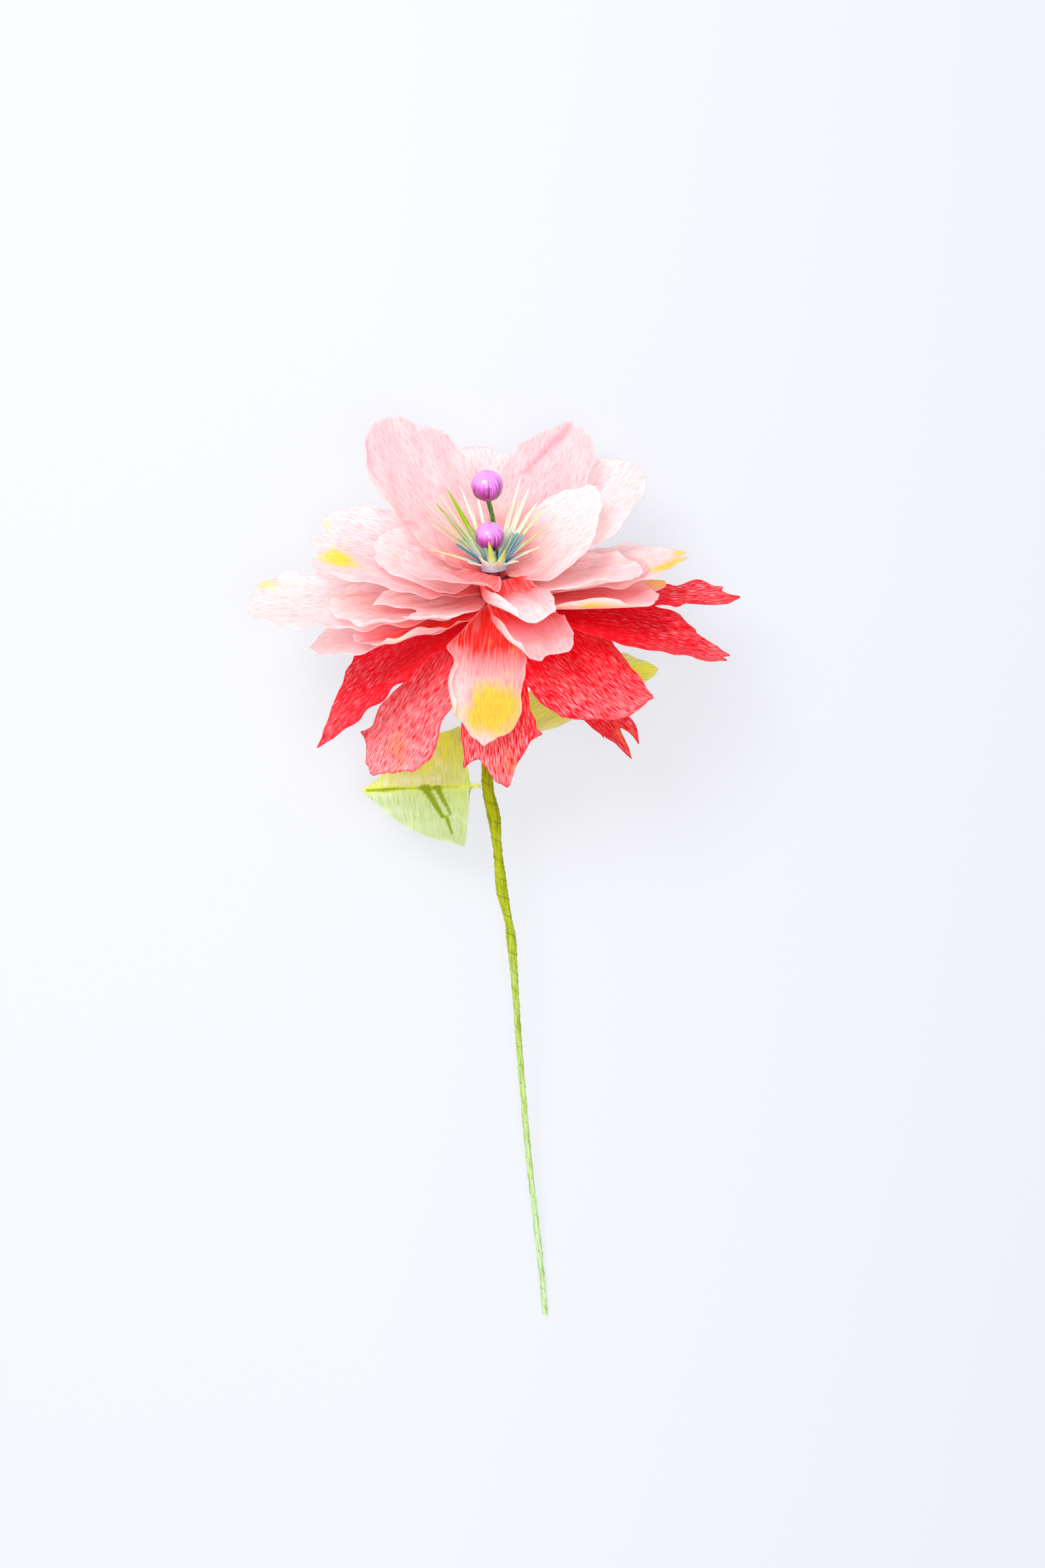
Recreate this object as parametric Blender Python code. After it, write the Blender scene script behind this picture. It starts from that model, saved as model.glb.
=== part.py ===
# A crepe-paper flower on a wrapped wire stem, lying on a flat surface.
#
# The flower's head has its own frame, held by the empty flower_head: Z is the way the flower
# faces, X runs to the right, and Y runs to the back, towards the surface that the flower lies on.
# A petal is a flat piece of crepe paper, shaped by formulas for its outline, its bend along the
# length, its cup across the width and its curled margins, and glued by its claw to the binding.
# Sizes are in millimetres and angles in degrees, and MM turns the sizes into metres.

import math

import bmesh
import bpy
import numpy as np
from mathutils import Matrix, Vector

MM = 0.001

# Paper and clearances
PAPER = 0.4
GAP = 0.3

# How the head is turned: its back leans down by HEAD_TILT, and it rests on its lowest petals
HEAD_TILT = 63.0
HEAD_LEAN = 5.0

# The longest petal, which all the others keep their proportion to
LONGEST_PETAL = 88.0

# The binding, a core of wound crepe that carries every petal, along the head's axis
BINDING_RADIUS = 5.9
COLLAR_RADIUS = 3.4
COLLAR_TOP = 4.6
COLLAR_FOOT = -2.0
BINDING_FOOT = -18.0
BINDING_END = -22.0
BINDING_END_RADIUS = 2.9
WIRE_DEPTH = 14.0

# The stem: a steel wire wound with green crepe, which closes over the wire's lower end. It
# reaches STEM_REACH along the surface from the head's centre. The route's entries are places of
# its centre line, from the head's centre, and the diameter there.
STEM_REACH = 286.0
WIRE_RADIUS = 0.5
WIRE_FIT = 0.3
END_COVER = 1.5
STEM_STEP = 0.2
STEM_SIDES = 10
STEM_RINGS = 44
STEM_ROUTE = (
    ((1.1, -31.0, -15.2), 4.9),
    ((-0.9, -46.0, -20.8), 4.6),
    ((-2.6, -62.0, -25.5), 4.7),
    ((-3.1, -78.6, -29.5), 4.4),
    ((-0.7, -90.7, -32.2), 5.0),
    ((0.6, -102.8, -34.6), 3.4),
    ((2.3, -118.6, -37.8), 4.4),
    ((4.7, -130.0, -40.1), 3.0),
    ((6.0, -139.0, -41.9), 3.7),
    ((7.4, -157.0, -45.4), 2.6),
    ((9.0, -180.0, -49.4), 2.4),
    ((12.7, -223.4, -56.4), 2.3),
    ((17.2, -264.3, -62.3), 2.2),
    ((19.2, -286.0, -65.3), 2.2),
)

# The centre: two glossy balls on stalks, and three fringes of cut paper round the collar
STALK_RADIUS = 0.9
STALK_SIDES = 10
SOCKET_DEPTH = 3.0
BALLS = {
    "upper": {
        "radius": 6.05,
        "place": (0.0, 0.0, 36.6),
        "foot": (1.0, 1.3),
        "bends": ((1.0, 4.4, 8.0), (1.1, 7.2, 13.0), (1.0, 7.0, 20.0), (0.4, 3.6, 26.0)),
    },
    "lower": {
        "radius": 5.5,
        "place": (-0.7, -0.4, 16.5),
        "foot": (-1.0, -1.3),
        "bends": ((-0.9, -0.9, 7.0),),
    },
}
FRINGE_DROP = 3.0
FRINGE_BAND = 2.4
BAND_STEP = 15.0
TOOTH_BEND = 4.5
TOOTH_STEPS = 8
ROW_SPREAD = 1.5
# Each tooth: azimuth, length, elevation at the tip
FILAMENTS = (
    (82, 25, 37), (96, 27, 47), (110, 27, 52), (128, 30, 54), (144, 33, 56), (-164, 30, 62),
    (-146, 31, 62), (-122, 32, 62), (-109, 32, 60), (-96, 31, 56), (-83, 34, 54), (-70, 33, 49),
)
BLUE_TEETH = (
    (-160, 13, 56), (-126, 13, 50), (-92, 14, 42), (-56, 12, 50), (-28, 10, 80), (4, 8.5, 78), (31, 9.5, 74),
    (61, 12, 46), (104, 11, 34), (140, 13, 50),
)
WHITE_TEETH = (
    (-110, 9, 30), (-72, 23, 30), (-44, 7, 40), (-11, 8, 66), (21, 4.5, 56), (48, 7.5, 38),
    (78, 19, 30), (112, 9, 30),
)
# The fringes from the inside out: colour, teeth, how far round the collar a tooth's foot
# reaches in degrees, a tooth's width at its widest and at its tip, and its rows of faces
FRINGES = (
    ("filaments", "white", FILAMENTS, 9, (1.2, 0.3), 7),
    ("blue", "blue", BLUE_TEETH, 22, (2.0, 1.6), 5),
    ("white", "white", WHITE_TEETH, 24, (2.4, 0.3), 6),
)


def petal(name, colour, azimuth, seat, length, width, rise, **shape):
    """One petal's values. The azimuth runs from the front, towards the right.

    rise     elevation of the midrib at the claw, half way and at the tip
    roll     turn of the cross-section about the midrib, at the claw and at the tip
    tip_turn extra bend near the tip, and where along the length it starts
    swing    sideways bend by the tip
    cup      rise of the cross-section's edges, as the angle at each edge
    curl     extra angle that the right and the left margin are curled through
    curl_at  where a curl starts, as a share of the half width
    curl_from where along the length a curl starts, or below 0 to curl the claw too
    fold     rise of both sides from a crease along the midrib
    taper    how much of the width is lost from the widest place to the tip
    widest   where the petal is widest, as a share of the length
    claw     width of the end that is glued to the binding
    end      how far the paper reaches, as shares of the length, from the right margin to the left
    wave     height of the waves in the margins, their count and their phase in degrees
    """
    values = {
        "roll": (0, 0), "tip_turn": (0, 0.8), "swing": 0, "cup": 22, "curl": (0, 0), "curl_at": 0.55,
        "curl_from": 0.15, "fold": 0, "taper": 0.28, "widest": 0.55, "end": ROUND_END,
        "wave": (0.5, 2, 0), "claw": 5.5,
    }
    values.update(shape)
    values.update(name=name, colour=colour, azimuth=azimuth, seat=seat, length=length,
                  width=width, rise=rise)
    return values


ROUND_END = (0.8, 0.93, 0.98, 1.0, 0.98, 0.93, 0.8)
POINTED_END = (0.62, 0.8, 0.92, 1.0, 0.9, 0.78, 0.6)
FORKED_END = (0.8, 0.97, 1.0, 0.88, 0.97, 0.92, 0.78)
BLUNT_END = (0.88, 0.96, 0.98, 1.0, 0.98, 0.97, 0.88)
NEAR_END = (0.78, 0.86, 0.92, 0.97, 1.0, 1.0, 0.94)
FAR_END = (0.94, 1.0, 1.0, 0.97, 0.92, 0.86, 0.78)
SLANTED_END = (0.84, 0.94, 1.0, 0.97, 0.92, 0.86, 0.76)

PETALS = (
    # the tall petals at the back of the face
    petal("pink_tall_left", "pink", -131, -3.4, 72, 49, (42, 56, 64), cup=18, end=BLUNT_END),
    petal("pink_tall_right", "pink", 149, -3.9, 71, 36, (34, 36, 38), end=SLANTED_END, cup=14,
          roll=(6, 4)),
    petal("pink_tall_middle", "pink", -177, -4.8, 69, 42, (26, 26, 26), cup=14),
    petal("pink_pale_right", "pink", 130, -5.6, 71, 50, (22, 23, 23), cup=14),
    # the right side, from the inside out
    petal("pink_cupped_right", "pink", 98, -2.6, 46, 38, (36, 33, 30), roll=(22, 16), cup=26,
          widest=0.45),
    petal("pink_mid_right", "pink", 80, -6.4, 50, 36, (10, 8, 4), roll=(-6, -6)),
    petal("pink_striped_right", "pink", 90, -7.2, 52, 26, (6, 6, 5)),
    petal("pink_yellow_fork", "pink", 99, -8.0, 68, 34, (4, 4, 4), cup=14, end=FORKED_END),
    petal("pink_boat_right", "pink", 78, -9.2, 55, 34, (0, 0, 2), curl=(75, 0), curl_at=0.6,
          cup=8),
    petal("pink_orange_tip", "pink", 95, -10.2, 58, 20, (-2, -2, -1), cup=8),
    # the front
    petal("pink_front_inner", "pink", 13, -4.7, 36, 26, (20, 7, -28), curl=(150, 0),
          curl_from=0.1, widest=0.45, claw=11, cup=8, swing=34),
    petal("pink_front_outer", "pink", 28, -11.6, 36, 30, (-4, -10, -26), curl=(120, 0),
          curl_from=-1, widest=0.45, claw=12, cup=8),
    petal("pink_tongue", "pink", -13, -12.6, 54, 30, (-8, -60, -78), cup=16),
    # the left side, from the inside out
    petal("pink_front_left", "pink", -42, -2.4, 48, 30, (29, 27, 24), widest=0.45, claw=6,
          swing=-48, roll=(-4, -6), cup=18),
    petal("pink_cream_left", "pink", -96, -4.4, 43, 38, (24, 25, 24), roll=(-8, -8), widest=0.45),
    petal("pink_yellow_spot", "pink", -90, -5.6, 65, 46, (18, 19, 16), end=NEAR_END, cup=16,
          roll=(-2, 0)),
    petal("pink_forked_left", "pink", -57, -7.4, 43, 34, (3, 11, 17), end=FORKED_END),
    petal("pink_pale_left", "pink", -115, -6.8, 71, 46, (16, 16, 14), roll=(-4, -8),
          end=FORKED_END),
    petal("pink_boat_left", "pink", -78, -8.6, 58, 40, (2, 6, 10), curl=(0, 40), curl_at=0.8,
          cup=12),
    petal("pink_broad_left", "pink", -92, -9.9, 88, 53, (-1, 4, 8), end=BLUNT_END, cup=14),
    petal("pink_cream_boat", "pink", -65, -11.2, 54, 27, (-4, 1, 6), curl=(0, 70), curl_at=0.75,
          cup=10),
    petal("pink_white_tip", "pink", -80, -12.2, 66, 34, (-6, -7, -6)),
    # the back, towards the surface that the flower lies on
    petal("pink_back_left", "pink", -140, -12.0, 62, 38, (-2, -4, -6)),
    petal("pink_back_middle", "pink", 176, -9.0, 60, 38, (12, 8, 0)),
    petal("pink_back_right", "pink", 140, -11.6, 62, 38, (-4, -5, -5), cup=8),
    # the red petals, glued on last
    petal("red_left", "red", -79, -13.4, 82, 42, (-20, -34, -45), end=POINTED_END, widest=0.65),
    petal("red_front_left", "red", -58, -15.0, 73, 32, (-32, -46, -52), roll=(-12, -12),
          end=BLUNT_END, widest=0.75, cup=6),
    petal("red_front", "red", -7, -16.8, 64, 30, (-34, -70, -80), end=POINTED_END, widest=0.7),
    petal("red_broad_right", "red", 51, -14.8, 64, 46, (-24, -33, -30), roll=(10, 6), cup=-6,
          tip_turn=(70, 0.85), end=NEAR_END, widest=0.5),
    petal("red_fork", "red", 64, -16.4, 68, 26, (-44, -50, -54), end=FORKED_END),
    petal("red_long_right", "red", 80, -13.4, 83, 38, (-11, -15, -17), end=FAR_END),
    petal("red_narrow_right", "red", 97, -12.5, 88, 22, (-6, -7, -4), end=POINTED_END),
    petal("red_back_right", "red", 145, -15.4, 66, 36, (-8, -14, -12)),
    petal("red_back", "red", 178, -13.8, 58, 36, (-5, -7, -10), cup=10),
    petal("red_back_left", "red", -145, -15.6, 66, 36, (-8, -14, -12)),
)

# The leaves: the entry of the stem's route that each is glued at, its heading, and how far its
# claw starts from the stem's surface
LEAVES = (
    (STEM_ROUTE[3], 182, 0.5, petal("leaf_left", "leaf", 0, 0, 46, 48, (-4, -6, -10), fold=-24, cup=-6,
                               widest=0.3, taper=0.9, claw=2.0, end=POINTED_END)),
    (STEM_ROUTE[2], 33, 1.1, petal("leaf_right", "leaf", 0, 0, 68, 19, (-8, -4, 0), swing=-34, fold=10,
                              cup=8, widest=0.5, taper=0.5, claw=2.0, end=ROUND_END)),
)

# A curl grows over this share of the length, and a cup starts at this share of its angle
CURL_RUN = 0.3
CUP_START = 0.35
CUP_RUN = 0.45
FOLD_RUN = 0.3

ROWS = 9
FLAT_COLUMNS = 6
CURLED_COLUMNS = 8

COLOURS = {
    "pink": (0.93, 0.55, 0.56, 1.0),
    "red": (0.82, 0.06, 0.09, 1.0),
    "green": (0.50, 0.62, 0.02, 1.0),
    "leaf": (0.66, 0.83, 0.05, 1.0),
    "stalk": (0.10, 0.16, 0.02, 1.0),
    "steel": (0.55, 0.55, 0.53, 1.0),
    "blue": (0.20, 0.38, 0.50, 1.0),
    "white": (0.85, 0.87, 0.74, 1.0),
    "purple": (0.45, 0.12, 0.62, 1.0),
}


def material(name, roughness=0.85, metallic=0.0):
    made = bpy.data.materials.get(name)
    if made:
        return made
    made = bpy.data.materials.new(name)
    made.use_nodes = True
    shader = made.node_tree.nodes["Principled BSDF"]
    shader.inputs["Base Color"].default_value = COLOURS[name]
    shader.inputs["Roughness"].default_value = roughness
    shader.inputs["Metallic"].default_value = metallic
    made.diffuse_color = COLOURS[name]
    return made


def add_object(name, mesh, parent, stuff):
    made = bpy.data.objects.new(name, mesh)
    bpy.context.scene.collection.objects.link(made)
    made.parent = parent
    mesh.materials.append(stuff)
    return made


def smooth(x):
    x = min(max(x, 0.0), 1.0)
    return x * x * (3 - 2 * x)


def read_between(values, place):
    """The list's value at a place from 0 to 1, on straight lines between its entries."""
    return float(np.interp(place * (len(values) - 1), range(len(values)), values))


def half_width(p, t):
    claw = p["claw"] / p["width"]
    if t < p["widest"]:
        share = claw + (1 - claw) * math.sin(t / p["widest"] * math.pi / 2)
    else:
        share = 1 - p["taper"] * ((t - p["widest"]) / (1 - p["widest"])) ** 2
    return share * p["width"] / 2


def elevation(p, t):
    claw, middle, tip = p["rise"]
    bend, start = p["tip_turn"]
    curve = claw * (1 - t) * (1 - 2 * t) + 4 * middle * t * (1 - t) + tip * t * (2 * t - 1)
    return curve + bend * smooth((t - start) / (1 - start))


def midrib(p, steps=60):
    """Points and frames (side, normal) along the midrib, from the claw to the tip."""
    place = np.zeros(3)
    found = []
    for i in range(steps + 1):
        t = i / steps
        beta = math.radians(elevation(p, t))
        sigma = math.radians(p["swing"] * t * t)
        rho = math.radians(p["roll"][0] + (p["roll"][1] - p["roll"][0]) * t)
        ahead = np.array([math.cos(beta) * math.cos(sigma), math.cos(beta) * math.sin(sigma),
                          math.sin(beta)])
        level = np.array([-math.sin(sigma), math.cos(sigma), 0.0])
        upright = np.cross(ahead, level)
        side = math.cos(rho) * level + math.sin(rho) * upright
        normal = -math.sin(rho) * level + math.cos(rho) * upright
        found.append((place.copy(), side, normal))
        place = place + ahead * p["length"] / steps
    return found


def across(p, t, v, steps=16):
    """Where the cross-section reaches at v, from -1 at the right margin to 1 at the left."""
    half = half_width(p, t)
    cup = math.radians(p["cup"]) * (CUP_START + (1 - CUP_START) * smooth(t / CUP_RUN))
    curl = math.radians(p["curl"][1] if v > 0 else p["curl"][0])
    curl *= smooth((t - p["curl_from"]) / CURL_RUN)
    fold = math.radians(p["fold"]) * smooth(t / FOLD_RUN)
    sign = 1 if v > 0 else -1
    out = up = 0.0
    for i in range(steps):
        s = abs(v) * (i + 0.5) / steps
        turn = fold + cup * s + curl * smooth((s - p["curl_at"]) / (1 - p["curl_at"]))
        out += math.cos(turn) * half * abs(v) / steps
        up += math.sin(turn) * half * abs(v) / steps
    height, count, phase = p["wave"]
    up += height * t * v * v * math.sin(math.radians(360 * count * t + phase + 60 * sign))
    return sign * out, up


def petal_point(p, rib, tau, v):
    t = tau * read_between(p["end"], (v + 1) / 2)
    step = t * (len(rib) - 1)
    i = min(int(step), len(rib) - 2)
    part = step - i
    place, side, normal = ((1 - part) * a + part * b for a, b in zip(rib[i], rib[i + 1]))
    out, up = across(p, t, v)
    return place + side * out + normal * up


def cut_to_size(p):
    """The petal with its length and width in proportion to LONGEST_PETAL."""
    share = LONGEST_PETAL / max(one["length"] for one in PETALS)
    return dict(p, length=p["length"] * share, width=p["width"] * share)


def petal_mesh(p):
    curled = max(abs(angle) for angle in p["curl"]) > 0
    columns = CURLED_COLUMNS if curled else FLAT_COLUMNS
    rib = midrib(p)
    sheet = bmesh.new()
    bmesh.ops.create_grid(sheet, x_segments=ROWS, y_segments=columns, size=1)
    for vertex in sheet.verts:
        tau = (vertex.co.x + 1) / 2
        v = math.sin(vertex.co.y * math.pi / 2) if curled else vertex.co.y
        vertex.co = Vector(petal_point(p, rib, tau, v)) * MM
    mesh = bpy.data.meshes.new(p["name"])
    sheet.to_mesh(mesh)
    sheet.free()
    return mesh


def thicken(sheet, thickness=PAPER):
    solidify = sheet.modifiers.new("paper thickness", "SOLIDIFY")
    solidify.thickness = thickness * MM
    solidify.offset = 0
    solidify.use_even_offset = False


def add_petal(p, head):
    made = add_object(p["name"], petal_mesh(p), head, material(p["colour"]))
    angle = math.radians(p["azimuth"] - 90)
    reach = binding_radius(p["seat"]) + GAP + PAPER / 4
    made.location = Vector((math.cos(angle) * reach, math.sin(angle) * reach, p["seat"])) * MM
    made.rotation_euler = (0, 0, angle)
    thicken(made)
    return made


def binding_radius(height):
    if height > COLLAR_FOOT:
        return COLLAR_RADIUS
    if height > BINDING_FOOT:
        return BINDING_RADIUS
    share = (BINDING_FOOT - height) / (BINDING_FOOT - BINDING_END)
    return BINDING_RADIUS + (BINDING_END_RADIUS - BINDING_RADIUS) * share


def add_turned(name, profile, parent, stuff, steps=24):
    """A body turned about the Z axis, from points of radius and height, closed at the axis."""
    outline = bmesh.new()
    points = [outline.verts.new((r * MM, 0, z * MM)) for r, z in profile]
    for a, b in zip(points, points[1:]):
        outline.edges.new((a, b))
    bmesh.ops.spin(outline, geom=outline.verts[:] + outline.edges[:], cent=(0, 0, 0),
                   axis=(0, 0, 1), angle=math.tau, steps=steps, use_duplicate=False)
    bmesh.ops.remove_doubles(outline, verts=outline.verts, dist=1e-6)
    bmesh.ops.recalc_face_normals(outline, faces=outline.faces)
    mesh = bpy.data.meshes.new(name)
    outline.to_mesh(mesh)
    outline.free()
    mesh.shade_smooth()
    return add_object(name, mesh, parent, stuff)


def cut_bore(body, name, radius, foot, top, place=(0, 0), sides=12):
    """Cuts a round hole along the body's own Z, from the height foot to the height top."""
    bore = add_turned(name, ((0, foot), (radius, foot), (radius, top), (0, top)), body.parent,
                      material("steel"), sides)
    bore.location = Vector((place[0] * MM, place[1] * MM, 0)) + body.location
    bore.hide_render = True
    bore.display_type = "WIRE"
    cut = body.modifiers.new(name, "BOOLEAN")
    cut.operation = "DIFFERENCE"
    cut.object = bore


def spline_points(points, count):
    """Places at even steps of a Catmull-Rom curve through the points, ends included."""
    points = [np.array(p, float) for p in points]
    padded = [2 * points[0] - points[1], *points, 2 * points[-1] - points[-2]]
    found = []
    for i in range(count):
        place = i / (count - 1) * (len(points) - 1)
        k = min(int(place), len(points) - 2)
        t = place - k
        a, b, c, d = padded[k:k + 4]
        found.append(0.5 * (2 * b + (c - a) * t + (2 * a - 5 * b + 4 * c - d) * t * t
                            + (3 * b - a - 3 * c + d) * t ** 3))
    return found


def ring_frames(points):
    """Two unit vectors across the path at each of its points, turned as little as possible."""
    across_path = Vector((1, 0, 0))
    frames = []
    for i in range(len(points)):
        ahead = Vector(points[min(i + 1, len(points) - 1)] - points[max(i - 1, 0)]).normalized()
        across_path = (across_path - ahead * across_path.dot(ahead)).normalized()
        frames.append((across_path.copy(), ahead.cross(across_path)))
    return frames


def add_rings(body, points, radii, frames, sides):
    rings = []
    for point, radius, (first, second) in zip(points, radii, frames):
        ring = []
        for k in range(sides):
            turn = math.tau * k / sides
            place = Vector(point) + (first * math.cos(turn) + second * math.sin(turn)) * radius
            ring.append(body.verts.new(place * MM))
        rings.append(ring)
    for one, other in zip(rings, rings[1:]):
        for k in range(sides):
            body.faces.new((one[k], one[k - 1], other[k - 1], other[k]))
    return rings


def add_tube(name, points, radii, parent, stuff, sides, bore=None, cover=0.0):
    """A rod along the points or, with a bore, a sleeve that is open at its start only."""
    body = bmesh.new()
    frames = ring_frames(points)
    outer = add_rings(body, points, radii, frames, sides)
    body.faces.new(outer[-1])
    if bore is None:
        body.faces.new(outer[0])
    else:
        inside = [point.copy() for point in points]
        inside[-1] = points[-1] + (points[-2] - points[-1]) * (
            cover / np.linalg.norm(points[-2] - points[-1]))
        inner = add_rings(body, inside, [bore] * len(points), frames, sides)
        body.faces.new(inner[-1])
        for k in range(sides):
            body.faces.new((outer[0][k], outer[0][k - 1], inner[0][k - 1], inner[0][k]))
    bmesh.ops.recalc_face_normals(body, faces=body.faces)
    mesh = bpy.data.meshes.new(name)
    body.to_mesh(mesh)
    body.free()
    mesh.shade_smooth()
    return add_object(name, mesh, parent, stuff)


def on_route(place, centre):
    """A place of the route in the world, with the stem's end lying on the surface."""
    (_, end_reach, end_drop), end_diameter = STEM_ROUTE[-1]
    reach, drop = STEM_REACH / -end_reach, (centre.z - end_diameter / 2) / -end_drop
    return centre + Vector((place[0], place[1] * reach, place[2] * drop))


def stem_line(centre):
    """The stem's centre line and its radii, from just under the binding to the lower end."""
    start = centre + head_turn() @ Vector((0, 0, BINDING_END - GAP))
    route = [(start, 2 * BINDING_END_RADIUS - STEM_STEP)]
    route += [(on_route(place, centre), diameter) for place, diameter in STEM_ROUTE]
    points = spline_points([place for place, _ in route], STEM_RINGS)
    radii = [float(r[0]) for r in spline_points([(d / 2,) for _, d in route], STEM_RINGS)]
    return points, radii


def add_stem(centre):
    points, radii = stem_line(centre)
    add_tube("stem_wrap", points, radii, None, material("green"), STEM_SIDES,
             WIRE_RADIUS + WIRE_FIT, END_COVER)
    end = points[-1] + (points[-2] - points[-1]) * (
        (END_COVER + GAP) / np.linalg.norm(points[-2] - points[-1]))
    top = [np.array(centre + head_turn() @ Vector((0, 0, BINDING_END + WIRE_DEPTH * share)))
           for share in (1.0, 0.5, 0.0)]
    wire = top + points[:-1] + [end]
    add_tube("stem_wire", wire, [WIRE_RADIUS] * len(wire), None,
             material("steel", 0.4, 1.0), 8)


def add_leaf(entry, heading, stand, p, centre):
    place, diameter = entry
    turn = math.radians(heading)
    reach = diameter / 2 + stand
    made = add_object(p["name"], petal_mesh(p), None, material(p["colour"]))
    out = Vector((math.cos(turn), math.sin(turn), 0))
    made.location = (on_route(place, centre) + out * reach) * MM
    made.rotation_euler = (0, 0, turn)
    thicken(made)


def add_ball(which, values, head, binding):
    """A ball with a blind hole in its underside, and the stalk from the collar into it."""
    radius, place = values["radius"], values["place"]
    ball = bmesh.new()
    bmesh.ops.create_uvsphere(ball, u_segments=16, v_segments=10, radius=radius * MM)
    mesh = bpy.data.meshes.new("ball_" + which)
    ball.to_mesh(mesh)
    ball.free()
    mesh.shade_smooth()
    made = add_object("ball_" + which, mesh, head, material("purple", 0.25))
    made.location = Vector(place) * MM
    hole = STALK_RADIUS + GAP
    cut_bore(made, "ball_bore_" + which, hole, -radius - 1, -radius + SOCKET_DEPTH)
    cut_bore(binding, "collar_bore_" + which, hole, COLLAR_TOP - SOCKET_DEPTH, COLLAR_TOP + 1,
             values["foot"])
    x, y = values["foot"]
    foot = COLLAR_TOP - SOCKET_DEPTH + GAP
    head_end = place[2] - radius + SOCKET_DEPTH - GAP
    route = [(x, y, foot), (x, y, COLLAR_TOP), *values["bends"],
             (place[0], place[1], place[2] - radius), (place[0], place[1], head_end)]
    points = spline_points(route, 4 * len(route))
    add_tube("stalk_" + which, points, [STALK_RADIUS] * len(points), head, material("stalk"),
             STALK_SIDES)


def fringe_foot():
    return COLLAR_TOP - FRINGE_DROP


def tooth_points(azimuth, length, tip_elevation, radius, width, belly, tip, rows):
    """Left and right edge of a tooth, row by row, from the band's upper edge outwards."""
    angle = math.radians(azimuth - 90)
    out = np.array([math.cos(angle), math.sin(angle), 0.0])
    side = np.array([-math.sin(angle), math.cos(angle), 0.0])
    place = out * radius + np.array([0, 0, fringe_foot() + FRINGE_BAND])
    edges = []
    gone = 0.0
    for i in range(rows):
        t = ((i + 1) / rows) ** ROW_SPREAD
        step = (t * length - gone) / TOOTH_STEPS
        for _ in range(TOOTH_STEPS):
            bent = smooth((gone + step / 2) / TOOTH_BEND)
            lift = math.radians(90 + (tip_elevation - 90) * bent)
            place = place + (out * math.cos(lift) + np.array([0, 0, math.sin(lift)])) * step
            gone += step
        half = (width + (belly - width) * math.sin(math.pi * min(t / 0.6, 1))) / 2
        half *= 1 - smooth((t - 0.3) / 0.7)
        half = max(half, tip / 2)
        edges.append((place - side * half, place + side * half))
    return edges


def band_angles(teeth, spread):
    """Azimuths round the whole band: each tooth's two edges, and the steps between teeth."""
    starts = sorted((azimuth - spread) % 360 for azimuth, _, _ in teeth)
    angles = []
    for i, start in enumerate(starts):
        angles += [(start, True), (start + 2 * spread, False)]
        gap = (starts[(i + 1) % len(starts)] - start - 2 * spread) % 360
        steps = max(int(gap // BAND_STEP), 1)
        angles += [(start + 2 * spread + gap * k / steps, False) for k in range(1, steps)]
    return angles


def add_fringe(layer, kind, colour, teeth, foot, widths, rows, head):
    """A band of paper round the collar, with teeth cut into its upper edge."""
    name = "fringe_" + kind
    belly, tip = widths
    radius = COLLAR_RADIUS + layer * (PAPER + GAP) - PAPER / 2
    width = radius * math.radians(foot)
    spread = foot / 2
    by_start = {round((azimuth - spread) % 360, 3): (azimuth, length, tip_elevation)
                for azimuth, length, tip_elevation in teeth}
    sheet = bmesh.new()
    columns = []
    for angle, _ in band_angles(teeth, spread):
        turn = math.radians(angle - 90)
        out = Vector((math.cos(turn), math.sin(turn), 0)) * radius
        columns.append([sheet.verts.new((out + Vector((0, 0, z))) * MM)
                        for z in (fringe_foot(), fringe_foot() + FRINGE_BAND)])
    for i, (angle, starts_tooth) in enumerate(band_angles(teeth, spread)):
        one, other = columns[i], columns[(i + 1) % len(columns)]
        sheet.faces.new((one[0], other[0], other[1], one[1]))
        if not starts_tooth:
            continue
        below = (one[1], other[1])
        values = by_start[round(angle % 360, 3)]
        for left, right in tooth_points(*values, radius, width, belly, tip, rows):
            above = (sheet.verts.new(Vector(left) * MM), sheet.verts.new(Vector(right) * MM))
            sheet.faces.new((below[0], below[1], above[1], above[0]))
            below = above
    mesh = bpy.data.meshes.new(name)
    sheet.to_mesh(mesh)
    sheet.free()
    made = add_object(name, mesh, head, material(colour))
    thicken(made)


def clear_scene():
    for old in list(bpy.data.objects):
        bpy.data.objects.remove(old)


def head_turn():
    return Matrix.Rotation(math.radians(HEAD_LEAN), 4, "Z") @ Matrix.Rotation(
        math.radians(-HEAD_TILT), 4, "X")


def add_head():
    head = bpy.data.objects.new("flower_head", None)
    bpy.context.scene.collection.objects.link(head)
    head.rotation_euler = (math.radians(-HEAD_TILT), 0, math.radians(HEAD_LEAN))
    return head


def resting_place(petals):
    """The head's centre, in millimetres: the lowest petals touch the surface, and the middle of
    the whole flower is over the origin."""
    corners = [head_turn() @ made.matrix_basis @ vertex.co / MM
               for made in petals for vertex in made.data.vertices]
    left, right = min(c.x for c in corners), max(c.x for c in corners)
    top, lowest = max(c.y for c in corners), min(c.z for c in corners)
    return Vector((-(left + right) / 2, (STEM_REACH - top) / 2, PAPER / 2 - lowest))


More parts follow.
